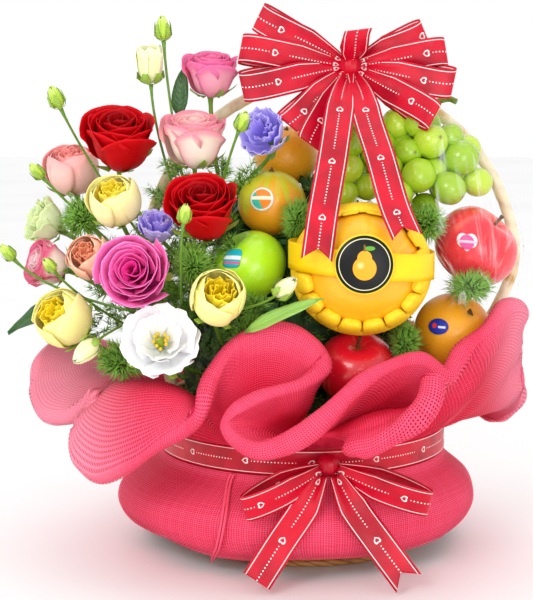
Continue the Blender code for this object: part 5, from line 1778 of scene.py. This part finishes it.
@dataclass
class Fruit:
    """One piece of fruit, from a ball with its own dips.

    Attributes:
        node: the node that it stands for.
        centre: its middle.
        half: its three half sizes; the last one is along its axis.
        kind: its shape.
        face: azimuth and elevation that its top faces.
        finish: its skin.
        slot: the skin's slot; it is not used.
        blush: azimuth and elevation of the side that ripened most.
        sink: how deep the stalk's foot is set in the skin.
    """

    node: str
    centre: Triple
    half: Triple
    kind: Kind
    face: Pair
    finish: SkinFinish
    slot: str
    blush: Pair
    sink: float = 1.5

    def reach(self, polar: Array, turn: Array) -> Array:
        """How far the skin stands from the middle, as a share of the half size.

        An apple dips at both ends and stands on five lobes, an orange dips a little at its
        top, a mango narrows at one end, and a pear dips at both.
        """
        if self.kind is Kind.APPLE:
            top = 0.30 * np.exp(-((polar / 0.36) ** 2))
            foot = (0.20 + 0.04 * np.cos(5 * turn)) * np.exp(-(((math.pi - polar) / 0.34) ** 2))
            lobes = 0.010 * np.cos(5 * turn + 0.4) * np.sin(polar) + 0.012 * np.cos(2 * turn)
            return 1.0 - top - foot + 0.05 * np.cos(polar) + lobes * np.sin(polar)
        if self.kind is Kind.ORANGE:
            return (
                1.0
                - 0.07 * np.exp(-((polar / 0.22) ** 2))
                - 0.03 * np.exp(-(((math.pi - polar) / 0.25) ** 2))
                + 0.008 * np.cos(3 * turn) * np.sin(polar)
            )
        if self.kind is Kind.MANGO:
            return 1.0 + 0.07 * np.cos(polar) + 0.05 * np.sin(polar) * np.cos(turn)
        return (
            1.0 - 0.10 * np.exp(-(((math.pi - polar) / 0.3) ** 2)) - 0.03 * np.exp(-((polar / 0.35) ** 2))
        )

    def skin(self, polar: Array, turn: Array) -> Array:
        """Points of the skin: centre + R (half sizes x unit direction x reach)."""
        local = sphere(polar, turn) * np.array(self.half, float) * self.reach(polar, turn)[..., None]
        return place(local, self.centre, self.face)

    def toward(self, out: Array) -> Array:
        """Points of the skin in the directions out from the middle."""
        axis = direction(*self.face)
        level, across = frame_of(axis)
        polar = np.arccos(np.clip(out @ axis, -1, 1))
        return self.skin(polar, np.arctan2(out @ across, out @ level))

    def build(self, seed: int, stalk: Material) -> None:
        """Makes the fruit and its stalk."""
        polar, turn = globe(90, 120)
        points = self.skin(polar, turn + 0 * polar)
        centre = np.array(self.centre, float)
        facing = unit(points - centre) @ direction(*self.blush)
        streak_draw = np.random.default_rng(seed)
        streak = sum(
            np.sin(k * turn + streak_draw.uniform(0, 6.3) + 0.8 * np.sin(2 * polar)) / math.sqrt(k)
            for k in (9, 17, 26, 41)
        )
        streak = ease(streak, -1.0, 1.0)
        hollow = np.exp(-((polar / 0.16) ** 2)) + 0 * turn
        if self.kind is not Kind.APPLE:
            hollow = hollow * 0.3
        blush = ease(facing + ripple(points, 45.0, seed) * 0.25, -0.7, 0.75)
        paint = np.stack([blush, streak, hollow], -1)
        body = Surface.ball(points, paint)
        dress(body.build(self.node + "_skin", self.finish.material()), self.slot, self.node)
        axis = direction(*self.face)
        low = self.toward(axis[None])[0] - axis * self.sink
        size = {Kind.APPLE: (13.0, 1.3), Kind.PEAR: (4.0, 1.6)}.get(self.kind, (1.6, 2.6))
        s = np.linspace(0, 1, 8)[:, None]
        bend = frame_of(axis)[0] * 2.0
        line = low + axis * size[0] * s + bend * s**2
        tip = size[1] * (1 + 0.5 * ease(s[:, 0], 0.7, 1.0))
        dress(Surface.tube(line, tip, 8).build(self.node + "_stalk", stalk), "wicker")


RED_APPLE_SKIN = SkinFinish("red_apple", "#FF7E54", "#F01830", "#FFB088", 3.4, 0.13, 0.26, 0.4)
GREEN_APPLE_SKIN = SkinFinish("green_apple", "#92DE08", "#B4EC20", "#DCF4A0", 4.2, 0.14, 0.28, 0.4)
ORANGE_SKIN = SkinFinish("orange", "#FFA20C", "#FFB420", "#FF9000", 1.9, 0.2, 0.42, 0.2, 0.22)
MANGO_SKIN = SkinFinish("mango", "#CCCC28", "#F8A41C", "#EBDC82", 3.0, 0.12, 0.36, 0.2)
PEAR_SKIN = SkinFinish("golden_pear", "#FFD034", "#FFBC1C", "#E8A420", 2.4, 0.13, 0.4, 0.25)

FRUIT = [
    Fruit(
        "orange_top", (-15, 8, 338), (28, 28, 26), Kind.ORANGE, (0, 75), ORANGE_SKIN, "orange_peel", (0, 0)
    ),
    Fruit(
        "mango", (-29, -38, 299), (29, 26, 28), Kind.MANGO, (10, 80), MANGO_SKIN, "mango_skin", (30, -60)
    ),
    Fruit(
        "green_apple", (-46, -72, 250), (32, 32, 29), Kind.APPLE, (-70, 55), GREEN_APPLE_SKIN,
        "green_apple_skin", (30, 0),
    ),
    Fruit("golden_pear", (45, -108, 253), (49, 46, 43), Kind.PEAR, (0, 0), PEAR_SKIN, "pear_skin", (0, -20)),
    Fruit(
        "red_apple_right", (145, -42, 263), (37, 37, 33), Kind.APPLE, (70, 50), RED_APPLE_SKIN,
        "red_apple_skin", (20, 0),
    ),
    Fruit(
        "red_apple_front", (43, -84, 166), (33, 33, 30), Kind.APPLE, (0, 60), RED_APPLE_SKIN,
        "red_apple_skin", (0, 10),
    ),
    Fruit(
        "orange_right", (126, -56, 193), (33, 33, 32), Kind.ORANGE, (30, 40), ORANGE_SKIN,
        "orange_peel", (0, 0),
    ),
]


@dataclass
class Sticker:
    """A printed label stuck to a fruit, cut to its outline."""

    node: str
    fruit: str
    aim: Pair
    radius: float
    label: Label
    lift: float = 0.9

    def outline(self, turn: Array) -> Array:
        """Radius of the label at an angle, as a share of its size."""
        if self.label is Label.OVAL:
            return 1.0 / np.sqrt(np.cos(turn) ** 2 + (np.sin(turn) / 0.74) ** 2)
        if self.label is Label.TILE:
            return 0.92 / (np.abs(np.cos(turn)) ** 5 + np.abs(np.sin(turn)) ** 5) ** 0.2
        if self.label is Label.HEART:
            dip = 0.40 * np.exp(-(((turn - math.pi / 2) / 0.42) ** 2))
            point = 0.34 * np.exp(-(((turn + math.pi / 2) / 0.35) ** 2))
            return 0.72 * (1 + 0.28 * np.sin(turn) - dip + point + 0.2 * np.cos(turn) ** 2)
        return np.ones_like(turn)

    def build(self, fruit: Fruit) -> None:
        """Makes the label, which follows the skin just clear of it."""
        normal = direction(*self.aim)
        right, up = frame_of(normal)
        size = float(np.mean(fruit.half))
        turn = np.linspace(-math.pi, math.pi, 48, endpoint=False)[None]
        share = np.array([0.0, 0.3, 0.6, 0.85, 1.0, 1.0, 0.0])[:, None]
        lift = np.array([0.3, 0.3, 0.3, 0.3, 0.22, 0.0, 0.0])[:, None, None] + self.lift
        wide = share * self.outline(turn) * self.radius
        x, y = wide * np.cos(turn), wide * np.sin(turn)
        out = unit(normal + (right * x[..., None] + up * y[..., None]) / size)
        skin = fruit.toward(out)
        points = skin + unit(skin - np.array(fruit.centre, float)) * lift
        surface = Surface.ball(points, np.stack([x / self.radius, y / self.radius, 0 * x], -1))
        surface.uv = surface.paint[:, :2].copy()
        dress(surface.build(self.node + "_label", LabelFinish(self.label).material()), "sticker", self.node)


STICKERS = [
    Sticker("sticker_mango", "mango", (-14, 14), 10.0, Label.ROUND),
    Sticker("sticker_green_apple", "green_apple", (-30, 22), 8.5, Label.TILE),
    Sticker("sticker_red_apple", "red_apple_right", (-16, 14), 10.0, Label.HEART),
    Sticker("sticker_orange", "orange_right", (-28, 16), 9.0, Label.OVAL),
]


@dataclass
class PearDress:
    """The foam cup, paper band and round label of the golden pear."""

    centre: Triple = (45.0, -108.0, 253.0)
    pear_half: Triple = (49.0, 46.0, 43.0)
    cup_half: Triple = (57.0, 50.5, 50.0)
    tabs: int = 16
    band_height: float = 22.0
    band_raise: float = 8.0
    band_slant: float = 4.5
    label_radius: float = 24.0
    label_at: Pair = (0.0, 9.0)

    def on_pear(self, angle: Array, turn: Array, height: Array) -> Array:
        """Points over the pear: an angle from its back, a turn round it, and a height."""
        half = np.array(self.pear_half) + height[..., None]
        return np.array(self.centre) + (sphere(angle, turn) * half)[..., [0, 2, 1]]

    def cup(self) -> Surface:
        """The foam cup: a thick bowl, open to the front, with a scalloped lip of puffed tabs.

        A tab is the box-like ball x^4 + y^4 + z^4 = 1, laid over the pear.
        """
        turn = full_turn(self.tabs * 12)[None]
        rows = np.array(
            [
                (0.0, 7.0), (40.0, 7.4), (70.0, 8.0), (88.0, 8.6), (98.0, 8.0), (103.0, 5.5), (103.0, 2.5),
                (96.0, 1.6), (70.0, 1.6), (40.0, 1.6), (0.0, 1.6),
            ]
        )
        angle, height = (smooth_line(rows, 44)[:, k][:, None] + 0 * turn for k in range(2))
        bowl = Surface.ball(self.on_pear(np.radians(angle), turn + 0 * angle, height))
        k = np.arange(self.tabs)[:, None, None]
        u = np.linspace(0, math.pi, 16)[None, :, None]
        v = full_turn(24)[None, None]
        way = sphere(u, v)[..., [2, 0, 1]]
        box = way / (way**4).sum(-1, keepdims=True) ** 0.25
        middle = 2 * math.pi * (k + 0.5) / self.tabs
        size = 1.0 - 0.7 * ease(np.sin(middle), 0.1, 0.8)
        angle = np.radians(99.0 + 12.0 * size + 15.0 * size * box[..., 0])
        turn = middle + (0.12 + 0.07 * size) * box[..., 1]
        height = 3.4 + 4.4 * size * box[..., 2]
        return Surface.join([bowl, Surface.ball(self.on_pear(angle, turn, height))])

    def band(self) -> Surface:
        """The paper band round the pear and its cup, slightly slanted."""
        turn = full_turn(180)[:, None]
        across = np.array([-0.5, -0.25, 0.0, 0.25, 0.5, 0.5, 0.25, 0.0, -0.25, -0.5])[None]
        wall = np.array([0.35] * 5 + [-0.35] * 5)[None]
        half_x = self.cup_half[0] + 2.2
        half_y = np.where(np.sin(turn) < 0, self.pear_half[2] + 2.5, self.cup_half[2] + 2.5)
        normal = unit(np.concatenate([np.cos(turn) / half_x, np.sin(turn) / half_y, 0 * turn], 1))
        x = np.cos(turn) * half_x + normal[:, :1] * wall
        y = np.sin(turn) * half_y + normal[:, 1:2] * wall
        slant = x * math.tan(math.radians(self.band_slant))
        z = self.band_raise + across * self.band_height - slant + 0.5 * np.sin(4 * turn) * across
        points = np.array(self.centre) + spread(x, y, z)
        return Surface.grid(points, closed=True, ring=True).outward()

    def label(self) -> Surface:
        """The round label on the band, bent to the pear's front."""
        turn = full_turn(64)[None]
        share = np.array([0.0, 0.25, 0.5, 0.75, 0.95, 1.0, 1.0, 0.5, 0.0])[:, None]
        lift = np.array([0.8, 0.8, 0.8, 0.8, 0.8, 0.7, 0.0, 0.0, 0.0])[:, None]
        x = self.label_at[0] + share * self.label_radius * np.cos(turn)
        z = self.label_at[1] + share * self.label_radius * np.sin(turn)
        bulge = 47.9 * np.sqrt(1.0 - (x / 62.0) ** 2 - (z / 70.0) ** 2)
        points = np.array(self.centre) + np.stack([x, -(bulge + lift), z], -1)
        paint = np.stack([x - self.label_at[0], z - self.label_at[1], 0 * x], -1) / self.label_radius
        surface = Surface.ball(points, paint)
        surface.uv = surface.paint[:, :2].copy()
        return surface

    def build(self) -> None:
        """Makes the three pieces."""
        foam = PlainFinish("packing_foam", "#FFD000", "#FFDE30", 0.6, 2.5, 0.12).material()
        paper = PlainFinish("glossy_paper", "#FFDA00", "#FFCC00", 0.35, 30.0, 0.2).material()
        dress(self.cup().build("pear_foam_cup", foam), "yellow_foam", "pear_net")
        dress(self.band().build("pear_paper_band", paper), "yellow_paper", "pear_band")
        disc = LabelFinish(Label.DISC).material()
        dress(self.label().build("pear_round_label", disc), "dark_label", "pear_label")


@dataclass
class Grapes:
    """The bunch of grapes: berries on a branching stalk over a dark core."""

    core: tuple[Triple, Triple] = ((86, -16, 337), (34, 9, 21))
    berries: tuple = (
        (79, -21, 367, 13.5), (107, -38, 353, 15.0), (133, -34, 339, 15.5), (96, -50, 325, 15.0),
        (122, -46, 314, 14.5), (148, -28, 318, 13.0), (84, -25, 346, 13.0), (71, -42, 331, 12.5),
        (78, -60, 309, 13.0), (38, -42, 352, 13.0), (37, -46, 331, 13.0), (33, -46, 309, 12.5),
        (42, -30, 368, 12.0), (54, -40, 315, 12.0), (103, -36, 297, 12.5), (56, -8, 338, 13.5),
        (60, -10, 362, 13.0), (106, -8, 366, 12.5), (112, -2, 338, 14.0), (86, -4, 314, 14.0),
        (136, -20, 326, 13.0), (58, -36, 344, 12.0), (58, -34, 366, 11.5), (96, -32, 368, 11.5),
        (124, -26, 356, 12.0), (64, 4, 322, 12.0), (92, 4, 350, 12.5), (120, -14, 312, 12.0),
        (88, -38, 344, 12.0), (66, -30, 352, 11.5), (110, -34, 328, 12.0), (72, -26, 318, 12.0),
        (140, -16, 346, 12.0), (50, -20, 326, 12.0),
    )

    def build(self) -> None:
        """Makes the berries, the stalks and the core."""
        draw = np.random.default_rng(11)
        table = np.array(self.berries)
        centre, radius = table[:, :3], table[:, 3]
        middle = np.array(self.core[0], float)
        axis = unit(centre - middle + draw.normal(0, 14, centre.shape))
        level, across = frame_of(axis)
        polar = np.linspace(0, math.pi, 20)[None, :, None]
        turn = full_turn(28)[None, None]
        way = sphere(polar, turn) * [0.97, 0.97, 1.03]
        local = sum(way[..., k, None] * v[:, None, None] for k, v in enumerate((level, across, axis)))
        points = centre[:, None, None] + local * radius[:, None, None, None]
        tone = draw.random((len(table), 1, 1))
        tip = np.exp(-((polar / 0.11) ** 2))
        paint = spread(tone, tip, 0.0 * turn)
        paint = np.broadcast_to(paint, points.shape)
        dress(Surface.ball(points, paint).build("grape_berries", GrapeFinish().material()), "grape", "grapes")
        s = np.linspace(0, 1, 8)[None, :, None]
        foot = centre - axis * radius[:, None] * 0.96
        line = foot[:, None] * (1 - s) + (middle * 0.5 + foot * 0.5)[:, None] * s
        stalks = Surface.tube(line + draw.normal(0, 0.8, line.shape) * s * (1 - s), 1.1, 6)
        ball = sphere(*globe(14, 20))
        lumps = 1 + 0.06 * ripple(ball * 30, 20, 2)[..., None]
        core = Surface.ball(middle + ball * np.array(self.core[1]) * lumps)
        stem = np.array([(86, -14, 360), (100, -6, 378), (122, -8, 388), (131, -12, 386)])
        nub = Surface.tube(smooth_line(stem, 14), 2.6, 8)
        green = PlainFinish("grape_stalk", "#7E9A34", "#5D7A26", 0.5, 5.0, 0.3).material()
        dress(Surface.join([stalks, core, nub]).build("grape_stalks", green), "grape", "grapes")


@dataclass
class Greenery:
    """Ferns, leaves and the leafy filling of the basket."""

    ferns: tuple = (
        ("fern_left", (-188, -42, 289), (20, 17, 17)),
        ("fern_middle", (-92, -104, 256), (15, 11, 18)),
        ("fern_mango", (-6, -76, 291), (13, 12, 17)),
        ("fern_grape", (100, -76, 289), (15, 14, 15)),
        ("fern_apple", (136, -90, 236), (20, 14, 12)),
        ("fern_pear_low", (83, -92, 190), (11, 12, 20)),
        ("fern_below", (-44, -108, 194), (19, 13, 20)),
        ("fern_low_left", (-150, -106, 178), (26, 14, 18)),
    )
    fronds: tuple = (
        ((-88, -30, 190), (-150, -62, 236)), ((-88, -40, 190), (-122, -92, 232)),
        ((-84, -30, 200), (-104, -74, 262)), ((-92, -26, 190), (-176, -60, 226)),
        ((-76, -30, 210), (-60, -84, 266)), ((-92, -30, 200), (-140, -50, 284)),
        ((-80, -26, 230), (-112, -24, 330)), ((-74, -24, 230), (-70, -40, 330)),
        ((-60, -60, 180), (-40, -120, 222)), ((-92, -30, 180), (-190, -70, 190)),
        ((-80, -24, 220), (-128, -16, 310)), ((-70, -20, 220), (-46, -46, 330)),
        ((-92, -24, 190), (-164, -40, 262)), ((-90, -24, 190), (-150, -44, 218)),
        ((-88, -24, 180), (-172, -56, 206)), ((-84, -20, 200), (-120, -40, 252)),
        ((-88, -24, 180), (-130, -60, 214)), ((-80, -24, 210), (-100, -44, 292)),
    )
    leaves: tuple = (
        ("leaf_left", (-196, -58, 222), (-252, -72, 203), 22.0, (-20, 55)),
        ("leaf_top", (-109, 12, 372), (-106, 10, 415), 15.0, (-10, 8)),
        ("leaf_right", (-50, -140, 205), (4, -166, 242), 13.0, (-10, 40)),
    )

    fern_tips: int = 80
    frond_tips: int = 46
    spots: int = 4200
    leafy: float = 0.34
    most_sprigs: int = 900
    filling_from: float = 118.0

    def needles(self, base: Array, way: Array, length: Array, thick: float, tone: Array) -> Surface:
        """Pointed needles with three sides: a small triangle at the base and a tip.

        Args:
            base: (n, 3) feet.
            way: (n, 3) directions.
            length: (n,) lengths.
            thick: half width of a foot.
            tone: (n,) painted tone.

        Returns:
            The needles.
        """
        level, across = frame_of(way)
        turn = np.array([0, 2, 4]) * math.pi / 3
        ring = np.cos(turn)[:, None] * level[:, None] + np.sin(turn)[:, None] * across[:, None]
        feet = base[:, None] + ring * thick
        tip = (base + way * length[:, None])[:, None]
        points = np.concatenate([feet, tip], 1).reshape(-1, 3)
        faces = np.array([(0, 1, 3), (1, 2, 3), (2, 0, 3), (2, 1, 0)])
        tris = (np.arange(len(base))[:, None, None] * 4 + faces).reshape(-1, 3)
        uv = np.tile([[0.3, 0.0], [0.3, 0.0], [0.3, 0.0], [0.3, 1.0]], (len(base), 1))
        paint = np.repeat(np.column_stack([tone, tone, tone]), 4, 0)
        paint[3::4, 0] += 0.7
        return Surface(points, np.zeros((0, 4), int), tris, uv, paint)

    def tuft(
        self, root: Array, tips: Array, draw: np.random.Generator, per: int, size: float, lean: float = 1.0
    ) -> Surface:
        """A tuft of feathery sprigs: needles along curved lines from a root to the tips.

        Args:
            root: (n, 3) feet of the lines.
            tips: (n, 3) their ends.
            draw: source of the scatter.
            per: needles on a line.
            size: length of a needle.
            lean: how far a needle leans along its line.

        Returns:
            The needles.
        """
        count = len(tips)
        share = draw.uniform(0.25, 1.0, (count, per, 1))
        bend = draw.normal(0, 0.12, (count, 1, 3)) * np.linalg.norm(tips - root, axis=-1)[:, None, None]
        start, end = root[..., None, :], tips[:, None]
        base = start + (end - start) * share + bend * share * (1 - share) * 4
        ahead = unit(end - start)
        around = unit(np.cross(ahead, draw.normal(size=(count, per, 3))))
        way = unit(ahead * lean + around).reshape(-1, 3)
        length = (size * draw.uniform(0.7, 1.25, (count, per)) * (1.15 - 0.5 * share[..., 0])).ravel()
        tone = np.repeat(draw.random(count), per) * 0.3 + draw.random(count * per) * 0.5
        return self.needles(base.reshape(-1, 3), way, length, size * 0.046, tone)

    def fern(self, centre: Triple, half: Triple, seed: int) -> Surface:
        """One ball of fern, its sprigs' tips spread evenly over an ellipsoid."""
        draw = np.random.default_rng(seed)
        count = self.fern_tips
        k = np.arange(count)
        z = 1 - 2 * (k + 0.5) / count
        turn = k * GOLDEN_ANGLE
        flat = np.sqrt(1 - z**2)
        out = np.stack([flat * np.cos(turn), flat * np.sin(turn), z], 1)
        tips = np.array(centre, float) + out * np.array(half, float) * draw.uniform(0.4, 0.85, (count, 1))
        root = np.array(centre, float) + np.array([0.0, 3.0, -3.0])
        return self.tuft(np.broadcast_to(root, tips.shape), tips, draw, 10, 15.0, 1.7)

    def frond(self, foot: Triple, tip: Triple, seed: int) -> Surface:
        """One long sprig between the stems: short side sprigs along a bent line."""
        draw = np.random.default_rng(seed)
        start, end = np.array(foot, float), np.array(tip, float)
        share = draw.uniform(0.2, 1.0, (self.frond_tips, 1))
        bow = UP * np.linalg.norm(end - start) * 0.12
        roots = start + (end - start) * share + bow * share * (1 - share) * 4
        sides = draw.normal(size=(self.frond_tips, 3)) * np.array([1.0, 0.8, 0.8])
        tips = roots + unit(unit(end - start) * 0.7 + unit(sides)) * (18 - 7 * share)
        return self.tuft(roots, tips, draw, 13, 10.5)

    def blades(self, foot: Array, way: Array, face: Array, length: Array, width: Array,
            tone: Array) -> Surface:
        """Pointed leaves with a sunk rib, bent back towards their tips.

        At share s along and v from -1 to 1 across, a leaf's point is foot + way s length
        + side v width w(s) + face (droop s^2 + |v| cup), where w(s) = sin(pi s^0.8)^0.8.
        """
        s = np.linspace(0, 1, 8)[None, :, None]
        v = np.array([-1.0, -0.5, 0.0, 0.5, 1.0])[None, None]
        side = unit(np.cross(way, face))
        outline = 0.06 + 0.94 * np.sin(math.pi * s**0.8) ** 0.8
        long, wide = length[:, None, None], width[:, None, None] / 2
        lift = -0.22 * long * s**2 + 0.16 * wide * np.abs(v) + 0.10 * wide * np.sin(s * 12 + v * 2)
        points = (
            foot[:, None, None]
            + way[:, None, None] * (s * long)[..., None]
            + side[:, None, None] * (v * wide * outline)[..., None]
            + face[:, None, None] * lift[..., None]
        )
        uv = spread(v * 0.5 + 0.5, s)
        paint = spread(tone[:, None, None], s, 0.0)
        paint = np.broadcast_to(paint, (len(foot), 8, 5, 3))
        return Surface.grid(points, uv=uv, paint=paint)

    def mound(self) -> tuple[Surface, Array, Array]:
        """The filling's own skin, and points and normals on it where leaves can grow.

        Returns:
            The lumpy surface 2 mm inside the node's, the points and their normals.
        """
        mesh = bpy.data.objects["foliage"].data
        points = mesh_points("foliage")
        corners = np.zeros(len(mesh.polygons) * 3, np.int32)
        mesh.polygons.foreach_get("vertices", corners)
        tris = corners.reshape(-1, 3)
        keys, index = np.unique(np.round(points, 2), axis=0, return_inverse=True)
        tris = index.reshape(-1)[tris]
        normal = np.cross(keys[tris[:, 1]] - keys[tris[:, 0]], keys[tris[:, 2]] - keys[tris[:, 0]])
        area = np.linalg.norm(normal, axis=1) / 2
        draw = np.random.default_rng(21)
        chosen = draw.choice(len(tris), self.spots, p=area / area.sum())
        a, b = draw.random((2, len(chosen), 1))
        flip = a + b > 1
        a, b = np.where(flip, 1 - a, a), np.where(flip, 1 - b, b)
        corner = keys[tris[chosen]]
        spots = corner[:, 0] + (corner[:, 1] - corner[:, 0]) * a + (corner[:, 2] - corner[:, 0]) * b
        out = unit(normal[chosen])
        shrunk = keys - unit(keys - keys.mean(0)) * 2.0
        blank = np.zeros((len(keys), 3))
        core = Surface(shrunk, np.zeros((0, 4), int), tris, blank[:, :2], blank)
        return core.outward(), spots, out

    def build(self) -> None:
        """Makes the ferns, the named leaves and the filling."""
        fern = LeafFinish("fern", "#15560C", "#A4E250", 0.5).material()
        pale = LeafFinish("pale", "#78B23A", "#B4DC78", 0.4).material()
        waxy = LeafFinish("waxy", "#123F1B", "#3F7F35", 0.35).material()
        # The filling's core is a near-black green: painted shade of the depths between the leaves.
        depth_shade = PlainFinish("filling", "#12300E", "#1F4A16", 0.8, 6.0, 1.2).material()
        for k, (node, centre, half) in enumerate(self.ferns):
            dress(self.fern(centre, half, 40 + k).build(node + "_sprigs", fern), "fern", node)
        for node, foot, tip, width, face in self.leaves:
            start, end = np.array([foot], float), np.array([tip], float)
            way = unit(end - start)
            normal = direction(*face)[None]
            normal = unit(normal - (normal * way).sum(-1, keepdims=True) * way)
            length = np.linalg.norm(end - start, axis=1)
            blade = self.blades(start, way, normal, length, np.array([width]), np.array([0.2]))
            finish = pale if node == "leaf_right" else waxy
            dress(blade.build(node + "_blade", finish, 0.5), "leaf", node)
        core, spots, out = self.mound()
        keep = spots[:, 2] > self.filling_from
        spots, out = spots[keep], out[keep]
        dress(core.build("filling_core", depth_shade), "foliage", "foliage")
        draw = np.random.default_rng(31)
        leafy = draw.random(len(spots)) < self.leafy
        feet, faces = spots[leafy], out[leafy]
        aside = draw.normal(size=feet.shape)
        way = unit(np.cross(faces, aside) + faces * 0.35 + UP * 0.25)
        face = unit(faces + 0.3 * way)
        size = draw.uniform(13, 24, len(feet))
        leaves = self.blades(feet - faces * 2, way, face, size, size * 0.38, draw.random(len(feet)) * 0.8)
        dress(leaves.build("filling_leaves", waxy, 0.3), "foliage", "foliage")
        bare, bare_out = spots[~leafy][: self.most_sprigs], out[~leafy][: self.most_sprigs]
        way = unit(bare_out + 0.5 * draw.normal(size=bare.shape))
        tips = bare + way * draw.uniform(8, 15, (len(bare), 1))
        sprigs = self.tuft(bare - bare_out * 2, tips, draw, 9, 7.0)
        dress(sprigs.build("filling_sprigs", fern), "foliage", "foliage")
        fronds = [self.frond(foot, tip, 120 + k) for k, (foot, tip) in enumerate(self.fronds)]
        dress(Surface.join(fronds).build("filling_fronds", fern), "foliage", "foliage")


@dataclass
class Film:
    """The clear film, taut over the fruit at the right, from the hoop to its edge."""

    left: float = 107.0
    back: float = 8.0
    low: float = 224.0
    clear: float = 4.0

    def build(self, hoop: Array) -> None:
        """Makes the film.

        Each point is the mean of the balls' own points in a direction n, c + r n, weighted
        by exp(k (c.n + r)), so that it passes smoothly from one ball to the next.
        """
        balls = [(*f.centre, max(f.half)) for f in FRUIT if f.node in ("red_apple_right", "orange_right")]
        balls += [b for b in Grapes().berries[:21] if b[0] > self.left - 20]
        balls += [(*c, max(h)) for n, c, h in Greenery().ferns if n in ("fern_grape", "fern_apple")]
        balls += [(*p, 5.5) for p in hoop[::12] if p[0] > self.left]
        table = np.array(balls, float)
        azimuth = np.linspace(-100, 150, 200)[None]
        elevation = np.linspace(-80, 88, 150)[:, None]
        out = direction(azimuth + 0 * elevation, elevation + 0 * azimuth)
        support = out @ table[:, :3].T + table[:, 3]
        weight = np.exp(0.55 * (support - support.max(-1, keepdims=True)))
        weight = weight / weight.sum(-1, keepdims=True)
        points = weight @ table[:, :3] + out * ((weight @ table[:, 3]) + self.clear)[..., None]
        crease = np.abs(ripple(points * np.array([1.0, 1.0, 0.35]), 26.0, 8))
        sharp = np.exp(-((crease / 0.055) ** 2))
        points = points + out * (sharp * 0.7 + ripple(points, 12.0, 9) * 0.4)[..., None]
        surface = Surface.grid(points, paint=np.stack([sharp, 0 * sharp, 0 * sharp], -1))
        centre = points.reshape(-1, 3)[surface.quads].mean(1)
        inside = (centre[:, 0] > self.left) & (centre[:, 1] < self.back) & (centre[:, 2] > self.low)
        surface.quads = surface.quads[inside]
        across = np.linalg.norm(np.diff(points, axis=1), axis=-1)[:-1] * MM
        along = np.linalg.norm(np.diff(points, axis=0), axis=-1)[:, :-1] * MM
        kept = inside.reshape(across.shape)
        a, b, c, d = (points.reshape(-1, 3)[surface.quads[:, k]] * MM for k in range(4))
        area = np.linalg.norm(np.cross(c - a, d - b), axis=1).sum() / 2 * 1.05
        shape = (across * kept).sum(1).max() / (along * kept).sum(0).max()
        flat = (float(np.sqrt(area * shape)), float(np.sqrt(area / shape)))
        used, index = np.unique(surface.quads, return_inverse=True)
        surface.quads = index.reshape(-1, 4)
        surface.points, surface.uv = surface.points[used], surface.uv[used]
        surface.paint = surface.paint[used]
        film = dress(surface.build("clear_film", FilmFinish().material(), 0.15), "film", "film")


@dataclass
class Studio:
    """Plain pale floor, soft light and the camera at the photograph's angle."""

    camera: Triple = (-0.0321, -1.4854, 0.4210)
    down: float = 8.0
    lens: float = 102.27
    floor_half: float = 6.0

    def build(self) -> None:
        """Makes the floor, the lights, the world and the camera."""
        points = np.array([[(-1, -1, 0), (1, -1, 0)], [(-1, 1, 0), (1, 1, 0)]], float) * self.floor_half / MM
        sweep = PlainFinish("studio_floor", "#FBFBFB", "#F7F7F7", 0.6, 400.0, 0.1).material()
        floor = Surface.grid(points).build("studio_floor", sweep)
        for name, place, power, size in (
            ("key", (-0.8, -1.7, 1.2), 10.0, 0.6),
            ("fill", (0.5, -2.0, 0.35), 11.0, 1.0),
            ("top", (0.1, 0.3, 1.9), 3.0, 1.2),
        ):
            lamp = bpy.data.lights.new(name, "AREA")
            lamp.energy = power
            lamp.size = size
            item = bpy.data.objects.new(name, lamp)
            item.location = place
            item.rotation_euler = (Vector((0, 0, 0.22)) - Vector(place)).to_track_quat("-Z", "Y").to_euler()
            bpy.context.scene.collection.objects.link(item)
        world = bpy.data.worlds.new("studio")
        world.use_nodes = True
        background = world.node_tree.nodes["Background"]
        background.inputs[0].default_value = (1.0, 1.0, 1.0, 1.0)
        background.inputs[1].default_value = 1.0
        bpy.context.scene.world = world
        view = bpy.data.cameras.new("camera")
        view.sensor_width = 36.0
        view.lens = self.lens
        item = bpy.data.objects.new("camera", view)
        item.location = self.camera
        item.rotation_euler = (math.radians(90 - self.down), 0.0, 0.0)
        bpy.context.scene.collection.objects.link(item)
        bpy.context.scene.camera = item
        bpy.context.scene.view_settings.view_transform = "Standard"


def main() -> None:
    """Builds every sub-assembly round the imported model."""
    logging.basicConfig(level=logging.INFO, format="%(message)s")
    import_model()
    Studio().build()
    holder = Holder()
    holder.build()
    Wrap().build()
    Ribbons().build()
    stalk = PlainFinish("fruit_stalk", "#6A4A22", "#4A3216", 0.6, 3.0, 0.3).material()
    by_name = {fruit.node: fruit for fruit in FRUIT}
    for k, fruit in enumerate(FRUIT):
        fruit.build(60 + k, stalk)
    for sticker in STICKERS:
        sticker.build(by_name[sticker.fruit])
    PearDress().build()
    Grapes().build()
    greens = {
        "stem": LeafFinish("stem", "#4F8A22", "#A6CC4C").material(),
        "middle": LeafFinish("middle", "#5E8A1C", "#F0C818").material(),
    }
    for k, flower in enumerate(FLOWERS + BUDS):
        flower.build(80 + k, greens)
    Greenery().build()
    Film().build(holder.hoop())


if __name__ == "__main__":
    main()
